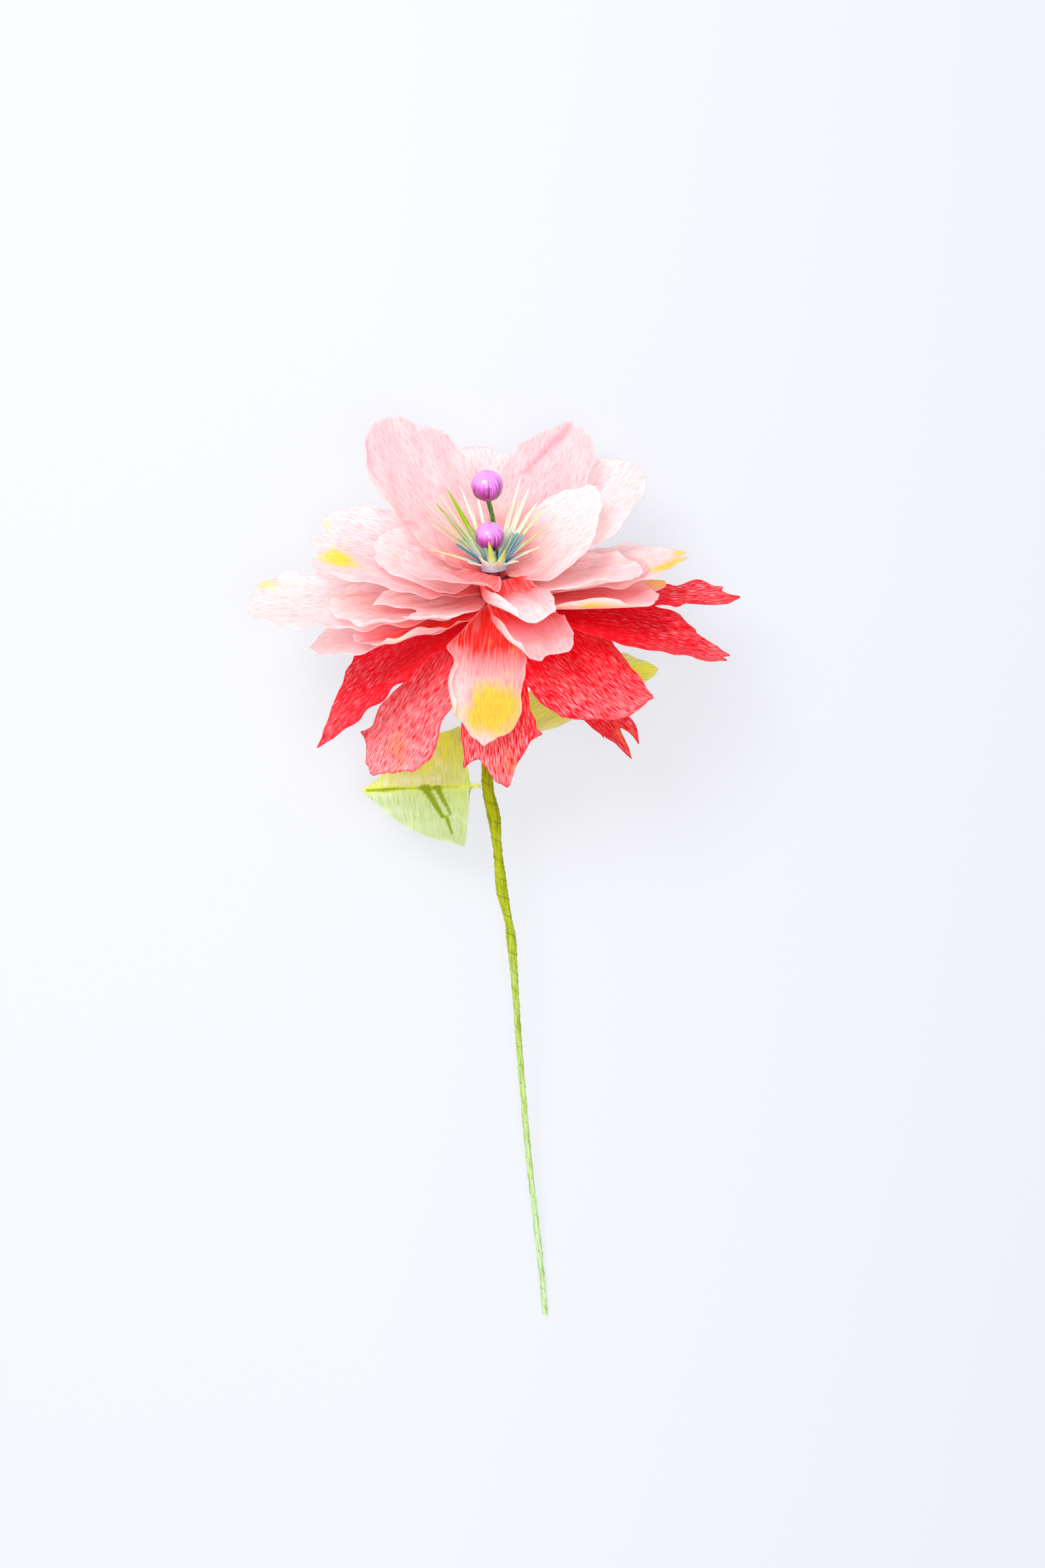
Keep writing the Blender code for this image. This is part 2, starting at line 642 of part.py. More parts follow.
def build():
    clear_scene()
    head = add_head()
    binding = add_turned("binding", (
        (0, BINDING_END), (BINDING_END_RADIUS, BINDING_END), (BINDING_RADIUS, BINDING_FOOT),
        (BINDING_RADIUS, COLLAR_FOOT), (COLLAR_RADIUS, COLLAR_FOOT), (COLLAR_RADIUS, COLLAR_TOP),
        (0, COLLAR_TOP)), head, material("green"))
    cut_bore(binding, "wire_bore", WIRE_RADIUS + WIRE_FIT, BINDING_END - 1,
             BINDING_END + WIRE_DEPTH + GAP)
    for which, values in BALLS.items():
        add_ball(which, values, head, binding)
    for layer, values in enumerate(FRINGES, 1):
        add_fringe(layer, *values, head)
    centre = resting_place([add_petal(cut_to_size(p), head) for p in PETALS])
    head.location = centre * MM
    add_stem(centre)
    for entry, heading, stand, p in LEAVES:
        add_leaf(entry, heading, stand, cut_to_size(p), centre)


build()
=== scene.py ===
# A crepe-paper flower that lies on a pale floor, seen from straight above.
# The petals are cut and bent by the same rules as the solids, on a finer grid. Values in the
# dictionaries are millimetres and degrees unless a note says otherwise.

import math

import bmesh
import bpy
import numpy as np
from mathutils import Matrix, Vector


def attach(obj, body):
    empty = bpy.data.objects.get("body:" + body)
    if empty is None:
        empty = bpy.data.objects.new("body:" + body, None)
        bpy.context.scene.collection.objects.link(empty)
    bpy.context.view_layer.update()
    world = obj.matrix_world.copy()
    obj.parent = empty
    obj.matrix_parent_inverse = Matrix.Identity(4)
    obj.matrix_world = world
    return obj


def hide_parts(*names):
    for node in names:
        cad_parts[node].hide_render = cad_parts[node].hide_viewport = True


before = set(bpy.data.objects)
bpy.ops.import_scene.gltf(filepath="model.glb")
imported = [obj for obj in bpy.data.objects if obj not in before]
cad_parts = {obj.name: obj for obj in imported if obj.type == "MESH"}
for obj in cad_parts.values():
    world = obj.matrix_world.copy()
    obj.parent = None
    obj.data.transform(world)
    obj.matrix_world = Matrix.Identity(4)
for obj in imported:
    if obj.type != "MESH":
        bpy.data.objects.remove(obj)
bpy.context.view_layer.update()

print("frame loaded,", len(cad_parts), "solids")

mm = 0.001

# where the head's centre lies, and how it is turned: Z is the way the flower faces
head = {"place": (-0.28, 111.781, 66.572), "tilt": 63, "lean": 5}
headTurn = (Matrix.Rotation(math.radians(head["lean"]), 4, "Z")
            @ Matrix.Rotation(math.radians(-head["tilt"]), 4, "X"))
headMatrix = Matrix.Translation(Vector(head["place"]) * mm) @ headTurn


def linearColour(hexText):
    parts = [int(hexText[i:i + 2], 16) / 255 for i in (1, 3, 5)]
    return [c / 12.92 if c <= 0.04045 else ((c + 0.055) / 1.055) ** 2.4 for c in parts] + [1.0]


def addNode(tree, kind, settings=None, inputs=None, output=0):
    # gives back one output; a kind without Geometry or NodeGroup before it is a shader node's, a value
    # that is a socket is linked, any other is set, and stops are a colour ramp's
    named = kind.startswith(("Geometry", "NodeGroup"))
    node = tree.nodes.new(kind if named else "ShaderNode" + kind)
    for name, value in (settings or {}).items():
        if name == "stops":
            ramp = node.color_ramp
            while len(ramp.elements) < len(value):
                ramp.elements.new(0.5)
            for element, (place, hexText) in zip(ramp.elements, value):
                element.position = place
                element.color = linearColour(hexText)
        else:
            setattr(node, name, value)
    for name, value in (inputs or {}).items():
        if isinstance(value, bpy.types.NodeSocket):
            tree.links.new(value, node.inputs[name])
        else:
            node.inputs[name].default_value = value
    return node.outputs[output] if len(node.outputs) else None


def addObject(name, data):
    made = bpy.data.objects.new(name, data)
    bpy.context.scene.collection.objects.link(made)
    return made


def writeNumbers(mesh, columns):
    for label, numbers in columns.items():
        layer = mesh.attributes.new(label, "FLOAT", "POINT")
        layer.data.foreach_set("value", np.array(numbers, dtype=np.float32))


def newMaterial(name):
    made = bpy.data.materials.new(name)
    made.use_nodes = True
    made.node_tree.nodes.clear()
    return made, made.node_tree


# Crepe paper, dyed and then brushed with colour. It is matt, its fine ridges run along the petal,
# and it lets light through. Real ridges are about half a millimetre apart, and the flecks that they
# make in the dye are as fine here. Each noise is its pitch across the grain, its run along it, and
# how much it changes the paleness.
# Some paint layers hold painted light: the coral at the foot of the pink petals and the deep red at the
# foot of the red ones are painted shade between the stacked petals, warmed as if light came through the
# paper; the darker valleys between the ridges are painted shade; and the pale cut rim is a painted
# highlight.
pinkLook = {
    "body": "#FF9CA9", "pale": "#FFF5F5", "glow": "#FF3A30", "brush": "#FFF04A", "brushDeep": "#FFCC28",
    "rim": "#FFFCF8", "rimLightShare": 0.32, "valleyShade": "#FFBCC2",
    "flecks": (0.34, 4.4, 0.18), "streaks": (0.9, 9.0, 0.1), "clouds": (9.0, 13.0, 0.36), "soft": 0.46,
    "through": 0.48, "relief": 0.13, "roughness": 0.9,
}
redLook = {
    "body": "#F20A28", "pale": "#FFB4BC", "glow": "#FA0018", "brush": "#FF8A1E", "brushDeep": "#FF4A10",
    "rim": "#FF2E46", "rimLightShare": 0.5, "valleyShade": "#FF6C7C",
    "flecks": (0.38, 3.8, 1.9), "streaks": (1.2, 10.0, 0.4), "clouds": (11.0, 20.0, 0.35), "soft": 0.34,
    "through": 0.4, "relief": 0.14, "roughness": 0.8,
}
leafLook = {
    "body": "#CDE892", "pale": "#FBFFE9", "glow": "#EEFF58", "brush": "#9AB018", "brushDeep": "#7C9400",
    "rim": "#F4FFD8", "rimLightShare": 0.4, "valleyShade": "#D4E8A0",
    "flecks": (0.5, 7.0, 0.25), "streaks": (2.0, 20.0, 0.5), "clouds": (11.0, 18.0, 0.4), "soft": 0.45,
    "through": 0.45, "relief": 0.1, "roughness": 0.8,
}
# How paint takes on crepe: from and to on what is read, and what that gives. The painted warm shade
# at the foot runs in streaks, a stroke shows and then covers, painted shade gathers in the valleys
# between the ridges, and a painted highlight lies along the cut rim.
paintTakes = {
    "foot": (0.3, 0.7, 0.6, 1.3), "stroke": (1.05, 1.5, 0.0, 0.95), "load": (1.7, 2.2, 0.0, 1.0),
    "valleyShade": (0.52, 0.3, 0.0, 0.6), "rim": (0.02, 0.11, 1.0, 0.0),
}
crepeForm = {
    "waver": 1.3, "waverScale": 0.1, "strokeNoise": (("clouds", 0.9), ("flecks", 0.7)),
    "streakShare": 0.6, "bump": 0.8, "specular": 0.15,
}


def crepePaper(name, look):
    made, tree = newMaterial(name)
    sheet = addNode(tree, "UVMap", {"uv_map": "cut"})
    paint = addNode(tree, "Attribute", {"attribute_name": "paint"}, output="Color").node.outputs
    brushed, glowing, paling = addNode(tree, "SeparateColor", {}, {0: paint["Color"]}).node.outputs
    # the ridges waver along the sheet
    waver = addNode(tree, "TexNoise", {"noise_dimensions": "2D"},
                    {"Vector": sheet, "Scale": crepeForm["waverScale"], "Detail": 2.0}, "Color")
    sheet = addNode(tree, "VectorMath", {"operation": "MULTIPLY_ADD"},
                    {0: waver, 1: (crepeForm["waver"], 0.0, 0.0), 2: sheet})
    noise, tone, middle = {}, paling, 0.5
    for layer, detail in (("flecks", 2.0), ("streaks", 3.0), ("clouds", 3.0)):
        pitch, run, amount = look[layer]
        place = addNode(tree, "VectorMath", {"operation": "MULTIPLY"},
                        {0: sheet, 1: (1 / pitch, 1 / run, 1.0)})
        noise[layer] = addNode(tree, "TexNoise", {"noise_dimensions": "2D"},
                               {"Vector": place, "Scale": 1.0, "Detail": detail})
        tone = addNode(tree, "Math", {"operation": "MULTIPLY_ADD"},
                       {0: noise[layer], 1: amount, 2: tone})
        middle += amount / 2
    # the dye took unevenly, so the flecks are paler than the body colour
    paleness = addNode(tree, "MapRange", {},
                       {0: tone, 1: middle - look["soft"], 2: middle + look["soft"]})
    colour = addNode(tree, "Mix", {"data_type": "RGBA"}, {
        0: paleness, 6: linearColour(look["body"]), 7: linearColour(look["pale"])}, 2)
    # brushed colour is broken up by the ridges
    stroke = brushed
    for layer, amount in crepeForm["strokeNoise"]:
        stroke = addNode(tree, "Math", {"operation": "MULTIPLY_ADD"},
                         {0: noise[layer], 1: amount, 2: stroke})
    share = {}
    for what, value in (("foot", noise["streaks"]), ("stroke", stroke), ("load", stroke),
                        ("valleyShade", noise["flecks"]), ("rim", paint["Alpha"])):
        start, end, low, high = paintTakes[what]
        share[what] = addNode(tree, "MapRange", {}, {
            0: value, 1: start, 2: end, 3: low * look["rimLightShare"] if what == "rim" else low, 4: high})
    # the painted warm shade at the foot, broken up in streaks
    dyed = addNode(tree, "Math", {"operation": "MULTIPLY", "use_clamp": True},
                   {0: glowing, 1: share["foot"]})
    ink = addNode(tree, "Mix", {"data_type": "RGBA"}, {
        0: share["load"], 6: linearColour(look["brush"]), 7: linearColour(look["brushDeep"])}, 2)
    # painted warm shade at the foot, the brushed colour, painted shade in the valleys, painted highlight
    # on the rim
    for factor, blend, over in (
            (dyed, "MIX", linearColour(look["glow"])), (share["stroke"], "MIX", ink),
            (share["valleyShade"], "MULTIPLY", linearColour(look["valleyShade"])),
            (share["rim"], "MIX", linearColour(look["rim"]))):
        colour = addNode(tree, "Mix", {"data_type": "RGBA", "blend_type": blend},
                         {0: factor, 6: colour, 7: over}, 2)

    height = addNode(tree, "Math", {"operation": "MULTIPLY_ADD"},
                     {0: noise["streaks"], 1: crepeForm["streakShare"], 2: noise["flecks"]})
    bump = addNode(tree, "Bump", {}, {
        "Strength": crepeForm["bump"], "Distance": look["relief"] * mm, "Height": height})
    facing = addNode(tree, "BsdfPrincipled", {}, {
        "Base Color": colour, "Roughness": look["roughness"],
        "Specular IOR Level": crepeForm["specular"], "Normal": bump})
    through = addNode(tree, "BsdfTranslucent", {}, {"Color": colour, "Normal": bump})
    both = addNode(tree, "MixShader", {}, {0: look["through"], 1: facing, 2: through})
    # a sheet scatters light once, where it enters, and lets it out unchanged at its far side
    inside = addNode(tree, "NewGeometry", output="Backfacing")
    out = addNode(tree, "BsdfTransparent")
    sheetLight = addNode(tree, "MixShader", {}, {0: inside, 1: both, 2: out})
    addNode(tree, "OutputMaterial", {}, {"Surface": sheetLight})
    return made


pinkCrepe = crepePaper("dyed pink crepe paper", pinkLook)
redCrepe = crepePaper("dyed red crepe paper", redLook)
leafCrepe = crepePaper("brushed green crepe paper", leafLook)
print("paper materials made")

# The ends of the petals: how far the paper reaches as a share of the length, from the right
# margin at -1 to the left one at 1
ends = {
    "round": ((-1, 0.8), (-0.67, 0.93), (-0.33, 0.98), (0, 1.0), (0.33, 0.98), (0.67, 0.93), (1, 0.8)),
    "pointed": ((-1, 0.62), (-0.67, 0.8), (-0.33, 0.92), (0, 1.0), (0.33, 0.9), (0.67, 0.78), (1, 0.6)),
    "forked": ((-1, 0.8), (-0.67, 0.97), (-0.33, 1.0), (-0.05, 0.89), (0.33, 0.97), (0.67, 0.92),
               (1, 0.78)),
    "blunt": ((-1, 0.88), (-0.67, 0.96), (-0.33, 0.98), (0, 1.0), (0.33, 0.98), (0.67, 0.97), (1, 0.88)),
    "near": ((-1, 0.78), (-0.67, 0.86), (-0.33, 0.92), (0, 0.97), (0.33, 1.0), (0.67, 1.0), (1, 0.94)),
}

# What every petal starts from. Paint spots are: what is put on (brushed colour, paleness, and the
# painted warm shade where petals overlap), place along and across (0 to 1, and -1 at the right
# margin to 1), how far it reaches along and across, and how strong.
# Strokes run between two places, along and across in millimetres. Spurs are a side, a place along,
# a height and a width. Flaps are a side, where along and how far (0 to 1), the fold's place across
# and its angle. A neck is the height and distance out to which the foot is drawn, a stalk the share
# of the length that stays as narrow as the claw, the grain of a turned sheet runs across it, and
# fade is how much paler the tip is than the foot.
# glowReach is how far the foot's painted warm shade reaches, in millimetres, and the number before it
# how strong it is.
anyPetal = {
    "roll": (0, 0), "tipTurn": (0, 0.8), "swing": 0, "cup": 22, "curl": (0, 0), "curlAt": 0.55,
    "curlFrom": 0.15, "fold": 0, "taper": 0.28, "widest": 0.55, "end": "round",
    "wave": (0.5, 2, 0), "claw": 5.5, "pale": 0.4, "glow": 0.7, "glowReach": 16, "ragged": 1.25,
    "crinkle": 0.5, "flutter": 1.3, "spots": (), "strokes": (), "spurs": (), "flaps": (), "neck": None,
    "stalk": 0, "turned": False, "fade": 0.4,
}
anyRed = {"fade": 0.5, "glowReach": 26}

# azimuth from the front towards the right, height of the seat on the binding, length, width,
# elevation at the claw, half way and at the tip, and what differs from any petal
pinkPetals = {
    "pink_tall_left": (-131, -3.4, 72, 49, (42, 56, 64), {
        "fade": 0, "neck": (0.9, 0.5), "cup": 18, "pale": 0.65, "end": (
        (-1, 0.78), (-0.75, 0.86), (-0.5, 0.93), (-0.2, 0.985), (0.1, 1.0), (0.45, 1.0), (0.75, 0.97),
        (0.9, 0.92), (1, 0.84)), "flaps": ((1, 0.32, 0.2, 0.76, 150),), "spurs": ((1, 22, 4, 13),)}),
    "pink_tall_right": (149, -3.9, 71, 36, (34, 36, 38), {
        "fade": 0, "neck": (0.9, 0.5), "cup": 14, "roll": (6, 4), "pale": 0.58,
        # the stroke that takes paleness away is painted shade along a crease that runs from the tip
        "strokes": (("pale", (68, -1), (46, 9), 2.0, -0.4),), "end": (
            (-1, 0.8), (-0.75, 0.93), (-0.5, 0.955), (-0.28, 0.965), (-0.14, 1.0), (0.1, 0.98),
            (0.4, 0.93), (0.7, 0.87), (1, 0.78))}),
    "pink_tall_middle": (-177, -4.8, 69, 42, (26, 26, 26), {"fade": 0, "cup": 14, "pale": 0.83}),
    "pink_pale_right": (130, -5.6, 71, 50, (22, 23, 23), {"fade": 0, "cup": 14, "pale": 1.18}),
    "pink_cupped_right": (98, -2.6, 46, 38, (36, 33, 30), {
        "neck": (0.9, 0.5), "roll": (22, 16), "cup": 26, "widest": 0.45, "glow": 0.5, "pale": 1.25,
        "end": (
            (-1, 0.7), (-0.6, 0.8), (-0.2, 0.88), (0.2, 0.95), (0.5, 1.0), (0.75, 1.02), (1, 0.9))}),
    "pink_mid_right": (80, -6.4, 50, 36, (10, 8, 4), {"glow": 0.3, "roll": (-6, -6), "pale": 1.3}),
    "pink_striped_right": (90, -7.2, 52, 26, (6, 5, 4), {"pale": 0.3, "flutter": 0.4, "crinkle": 0.2}),
    "pink_yellow_fork": (99, -8.0, 68, 34, (4, 4, 4), {
        "cup": 14, "glow": 0.3, "pale": 1.3, "end": (
            (-1, 0.78), (-0.5, 0.92), (-0.15, 1.0), (-0.02, 0.92), (0.15, 0.99), (0.5, 0.93),
            (1, 0.8)),
        "spots": (("brush", 0.87, -0.5, 0.12, 0.3, 0.75), ("brush", 0.97, 0.1, 0.05, 0.4, 0.6))}),
    "pink_boat_right": (78, -9.2, 55, 34, (0, 0, 2), {
        "curl": (85, 0), "curlAt": 0.52, "cup": 8, "pale": 0.49,
        "spots": (("brush", 0.7, -0.8, 0.4, 0.16, 0.5), ("pale", 0.6, -0.95, 0.6, 0.4, 0.9),
                  ("glow", 0.4, 0.2, 0.4, 0.5, 0.5))}),
    "pink_orange_tip": (95, -10.2, 58, 20, (-2, -2, -1), {
        "cup": 8, "pale": 1.0, "spots": (("brush", 0.95, 0.2, 0.2, 0.6, 0.6),)}),
    "pink_front_inner": (13, -4.7, 37, 26, (22, 7, -28), {
        "neck": (0.4, 2.2), "curl": (150, 0), "curlFrom": -0.4, "widest": 0.45, "claw": 20, "cup": 8,
        "swing": 36, "taper": 0.2, "pale": 0.42, "glow": 0.9, "glowReach": 17, "crinkle": 0.9,
        "spots": (("pale", 0.45, -0.95, 0.6, 0.35, 0.9), ("pale", 1.0, 0.0, 0.25, 1.2, 0.5)), "end": (
            (-1, 0.86), (-0.6, 0.97), (-0.2, 0.99), (0.3, 1.0), (0.7, 0.98), (0.85, 0.93), (1, 0.78))}),
    "pink_front_outer": (24, -11.6, 37, 29, (1, -9, -27), {
        "neck": (-7.5, 0.6), "curl": (120, 0), "curlFrom": -1, "widest": 0.45, "claw": 20, "cup": 8,
        "swing": 6, "taper": 0.2, "pale": 0.16, "glow": 1.0, "glowReach": 16, "crinkle": 0.9,
        "spots": (("pale", 0.45, -0.95, 0.6, 0.35, 0.9), ("pale", 0.9, 0.3, 0.25, 0.6, 0.3)), "end": (
            (-1, 0.84), (-0.7, 0.97), (-0.3, 1.0), (0.2, 0.97), (0.6, 0.98), (0.85, 0.93), (1, 0.8))}),
    "pink_tongue": (-13, -12.6, 54, 30, (-8, -60, -78), {
        "neck": (-9, 0.4), "glow": 1.0, "glowReach": 21, "cup": 16, "pale": 0.25,
        "flaps": ((-1, 0.6, 0.34, 0.7, 172),), "spurs": ((-1, 30, 8, 28),),
        "end": ((-1, 0.72), (-0.7, 0.84), (-0.4, 0.94), (-0.15, 1.0), (0.05, 0.985), (0.2, 0.99),
                (0.45, 0.94), (0.75, 0.88), (1, 0.76)),
        "spots": (("brush", 0.74, 0.2, 0.2, 0.75, 1.0), ("pale", 0.6, -1.0, 0.5, 0.35, 1.4),
                  ("glow", 0.12, 0.0, 0.2, 1.2, 0.8),
                  ("pale", 0.52, 0.1, 0.14, 0.9, 0.5), ("pale", 0.97, 0.0, 0.1, 0.8, 0.8))}),
    "pink_front_left": (-34, -2.4, 48, 30, (34, 31, 30), {
        "neck": (2.8, 1.4), "widest": 0.45, "claw": 11, "swing": -56, "roll": (-4, -8), "cup": 18,
        "pale": 0.54, "glow": 0.6, "glowReach": 12, "spots": (("glow", 0.6, 0.9, 0.4, 0.5, 0.35),)}),
    "pink_cream_left": (-96, -4.4, 43, 38, (24, 25, 24), {
        "neck": (0.9, 0.5), "roll": (-8, -8), "widest": 0.45, "glow": 0.3, "pale": 1.3}),
    "pink_yellow_spot": (-90, -5.6, 65, 46, (18, 19, 16), {
        "end": "near", "cup": 16, "roll": (-2, 0), "pale": 0.66,
        "spots": (("brush", 0.85, -0.1, 0.13, 0.46, 0.75),)}),
    "pink_forked_left": (-57, -7.4, 43, 34, (3, 11, 17), {
        "pale": 1.3, "glow": 0.5, "glowReach": 12, "crinkle": 0.9, "end": (
        (-1, 0.82), (-0.85, 0.98), (-0.6, 0.94), (-0.3, 0.78), (-0.1, 0.68), (0.15, 0.76), (0.5, 0.92),
        (0.8, 1.0), (1, 0.92))}),
    "pink_pale_left": (-115, -6.8, 71, 46, (16, 16, 14), {
        "roll": (-4, -8), "end": "forked", "pale": 0.73,
        "spots": (("brush", 0.95, -0.2, 0.05, 0.3, 0.45),)}),
    "pink_boat_left": (-78, -8.6, 58, 40, (2, 6, 10), {
        "curl": (0, 60), "curlAt": 0.8, "cup": 12, "pale": 0.8, "crinkle": 0.8,
        "spots": (("pale", 0.7, 1.0, 0.5, 0.2, 0.5), ("glow", 0.5, 0.3, 0.3, 0.6, 0.35))}),
    "pink_broad_left": (-92, -9.9, 88, 53, (-1, 4, 8), {
        "end": "blunt", "cup": 14, "pale": 0.79, "spots": (("brush", 0.93, -0.7, 0.06, 0.22, 0.55),)}),
    "pink_cream_boat": (-65, -11.2, 54, 27, (-4, 1.5, 6.5), {
        "curl": (0, 110), "curlAt": 0.66, "cup": 10, "pale": 0.24, "glow": 1.0, "glowReach": 22,
        "crinkle": 0.8,
        "spots": (("pale", 0.7, 1.0, 0.6, 0.28, 1.4), ("glow", 0.55, 0.3, 0.4, 0.35, 1.0),
                  ("brush", 0.6, 1.0, 0.5, 0.24, 0.3))}),
    "pink_white_tip": (-80, -12.2, 66, 34, (-6, -6, -4), {"glow": 0.0, "pale": 1.3, "crinkle": 0.8}),
    "pink_back_left": (-140, -12.0, 62, 38, (-2, -4, -6), {"pale": 0.5}),
    "pink_back_middle": (176, -9.0, 60, 38, (12, 8, 0), {"pale": 0.5}),
    "pink_back_right": (140, -11.6, 62, 38, (-4, -5, -5), {"cup": 8, "pale": 0.5}),
}
redPetals = {
    "red_left": (-79, -13.4, 82, 42, (-20, -34, -45), {
        "pale": 0.01, "end": "pointed", "widest": 0.65, "spurs": ((-1, 48, 5, 30),)}),
    "red_front_left": (-58, -15.0, 73, 32, (-32, -46, -52), {
        "pale": 0.42, "roll": (-12, -12), "widest": 0.75, "cup": 6, "end": (
            (-1, 0.86), (-0.92, 0.97), (-0.7, 0.985), (-0.5, 1.0), (-0.2, 0.97), (0.1, 0.935),
            (0.4, 0.89), (0.6, 0.87), (0.8, 0.885), (1, 0.8)), "spurs": ((-1, 61, 5, 5),),
        "spots": (("brush", 0.82, 0.0, 0.1, 0.5, 0.45),)}),
    "red_front": (-7, -16.8, 64, 30, (-34, -70, -80), {
        "pale": 0.27, "widest": 0.7, "spots": (("brush", 0.85, 0.3, 0.1, 0.4, 0.4),), "end": (
            (-1, 0.86), (-0.6, 0.8), (-0.2, 0.97), (0.15, 1.0), (0.25, 0.98), (0.4, 0.87),
            (0.75, 0.71), (1, 0.68)), "spurs": ((1, 43, 3, 3),)}),
    "red_broad_right": (51, -14.8, 64, 45, (-24, -33, -30), {
        "pale": 0.18, "roll": (10, 6), "cup": -6, "tipTurn": (70, 0.85), "widest": 0.5, "ragged": 1.3,
        "end": ((-1, 0.7), (-0.7, 0.8), (-0.33, 0.9), (0, 0.97), (0.33, 1.0), (0.67, 1.0), (1, 0.94))}),
    "red_fork": (63, -16.4, 70, 27, (-44, -50, -54), {
        "pale": 0.01, "spots": (("brush", 0.9, 0.3, 0.1, 0.5, 0.4),), "end": (
            (-1, 0.74), (-0.85, 0.79), (-0.7, 0.78), (-0.3, 0.9), (-0.08, 1.0), (0.12, 0.97),
            (0.3, 0.85), (0.42, 0.82), (0.6, 0.9), (0.72, 0.99), (0.86, 0.9), (1, 0.8))}),
    "red_long_right": (80, -13.4, 83, 38, (-11, -15, -17), {
        "pale": 0.03, "flutter": 0.5, "crinkle": 0.25, "end": (
        (-1, 0.86), (-0.6, 0.96), (-0.35, 1.0), (-0.2, 0.975), (0, 1.0), (0.3, 0.93), (0.6, 0.84),
        (1, 0.74))}),
    "red_narrow_right": (97, -12.5, 88, 22, (-6, -7, -4), {"pale": 0.04, "end": (
        (-1, 0.92), (-0.5, 0.97), (-0.1, 1.0), (0.2, 0.97), (0.5, 0.93), (0.75, 0.95), (1, 0.88))}),
    "red_back_right": (145, -15.4, 65, 36, (-8, -14, -11), {"flutter": 0.2, "crinkle": 0.2}),
    "red_back": (178, -13.8, 58, 36, (-5, -7, -10), {"cup": 10}),
    "red_back_left": (-145, -15.6, 66, 36, (-8, -14, -12), {}),
}

# the cut of every sheet: rows along it, columns across it and steps of its midrib, with the paper's
# thickness, and what makes it uneven. Nicks are how strong and how far apart, ripples how long
# across and along, and their count, and spotFall how fast a spot of paint fades.
sheetCut = {
    "rows": 72, "columns": 40, "midribSteps": 60, "curlSteps": 32, "thickness": 0.3,
    "endNicks": ((1.0, 2.6), (1.1, 9.0)), "marginNicks": ((0.5, 3.4), (1.1, 13.0)),
    "gathers": (6, 30, 6), "flutters": (14, 13, 4), "spotFall": 0.8,
}

# the binding that the petals are seated on: its radii by height along the head's axis, and the gap
# and the paper that the solids' petals are placed with
binding = {
    "radius": 5.9, "collarRadius": 3.4, "collarFoot": -2.0, "foot": -18.0, "end": -22.0,
    "endRadius": 2.9, "gap": 0.3, "paper": 0.4,
}


def smoothStep(x):
    x = np.clip(x, 0.0, 1.0)
    return x * x * (3 - 2 * x)


def ripples(a, b, seed, count):
    # a smooth random height field from -1 to 1, of waves about one unit long
    rng = np.random.default_rng(seed)
    total = 0
    for _ in range(count):
        turn, phase = rng.uniform(0, math.tau, 2)
        pitch = rng.uniform(0.7, 1.5)
        total = total + np.sin(math.tau * (a * math.cos(turn) + b * math.sin(turn)) / pitch + phase)
    return total / count ** 0.5 / 1.4


def nicks(a, pitch, rng):
    # an uneven line of straight pieces, from -1 to 1, with corners about a pitch apart
    corners = rng.uniform(-1, 1, 80)
    return np.interp(a / pitch + 40 + rng.uniform(0, 1), range(80), corners)


def halfWidth(p, t):
    claw = p["claw"] / p["width"]
    t = np.maximum(t - p["stalk"], 0) / (1 - p["stalk"])
    opening = claw + (1 - claw) * np.sin(np.minimum(t / p["widest"], 1) * math.pi / 2)
    closing = 1 - p["taper"] * (np.maximum(t - p["widest"], 0) / (1 - p["widest"])) ** 2
    return np.where(t < p["widest"], opening, closing) * p["width"] / 2


def midrib(p):
    # places along the midrib and the directions across it and off the paper, as rows of numbers
    steps = sheetCut["midribSteps"]
    t = np.linspace(0, 1, steps + 1)
    claw, middle, tip = p["rise"]
    bend, start = p["tipTurn"]
    beta = np.radians(claw * (1 - t) * (1 - 2 * t) + 4 * middle * t * (1 - t) + tip * t * (2 * t - 1)
                      + bend * smoothStep((t - start) / (1 - start)))
    sigma = np.radians(p["swing"] * t * t)
    rho = np.radians(p["roll"][0] + (p["roll"][1] - p["roll"][0]) * t)[:, None]
    ahead = np.stack([np.cos(beta) * np.cos(sigma), np.cos(beta) * np.sin(sigma), np.sin(beta)], 1)
    level = np.stack([-np.sin(sigma), np.cos(sigma), 0 * sigma], 1)
    upright = np.cross(ahead, level)
    side = np.cos(rho) * level + np.sin(rho) * upright
    normal = -np.sin(rho) * level + np.cos(rho) * upright
    place = np.vstack([[0, 0, 0], np.cumsum(ahead[:-1], 0)]) * p["length"] / steps
    return np.hstack([place, side, normal])


def acrossSheet(p, t, v, half):
    # how far out and up the cross-section reaches at v: its cup, its fold and its curled margins
    cup = np.radians(p["cup"]) * (0.35 + 0.65 * smoothStep(t / 0.45))
    curl = np.where(v > 0, math.radians(p["curl"][1]), math.radians(p["curl"][0]))
    curl = curl * smoothStep((t - p["curlFrom"]) / 0.3)
    fold = math.radians(p["fold"]) * smoothStep(t / 0.3)
    out, up, steps = 0 * half, 0 * half, sheetCut["curlSteps"]
    for i in range(steps):
        s = abs(v) * (i + 0.5) / steps
        turn = fold + cup * s + curl * smoothStep((s - p["curlAt"]) / (1 - p["curlAt"]))
        for which, at, reach, start, angle in p["flaps"]:
            here = smoothStep(1.6 * (1 - abs(t - at) / reach)) * (v * which > 0)
            turn = turn + math.radians(angle) * here * smoothStep((s - start) / 0.14)
        out = out + np.cos(turn) * half * abs(v) / steps
        up = up + np.sin(turn) * half * abs(v) / steps
    height, count, phase = p["wave"]
    sign = np.where(v > 0, 1.0, -1.0)
    up = up + height * t * v * v * np.sin(np.radians(360 * count * t + phase + 60 * sign))
    return sign * out, up


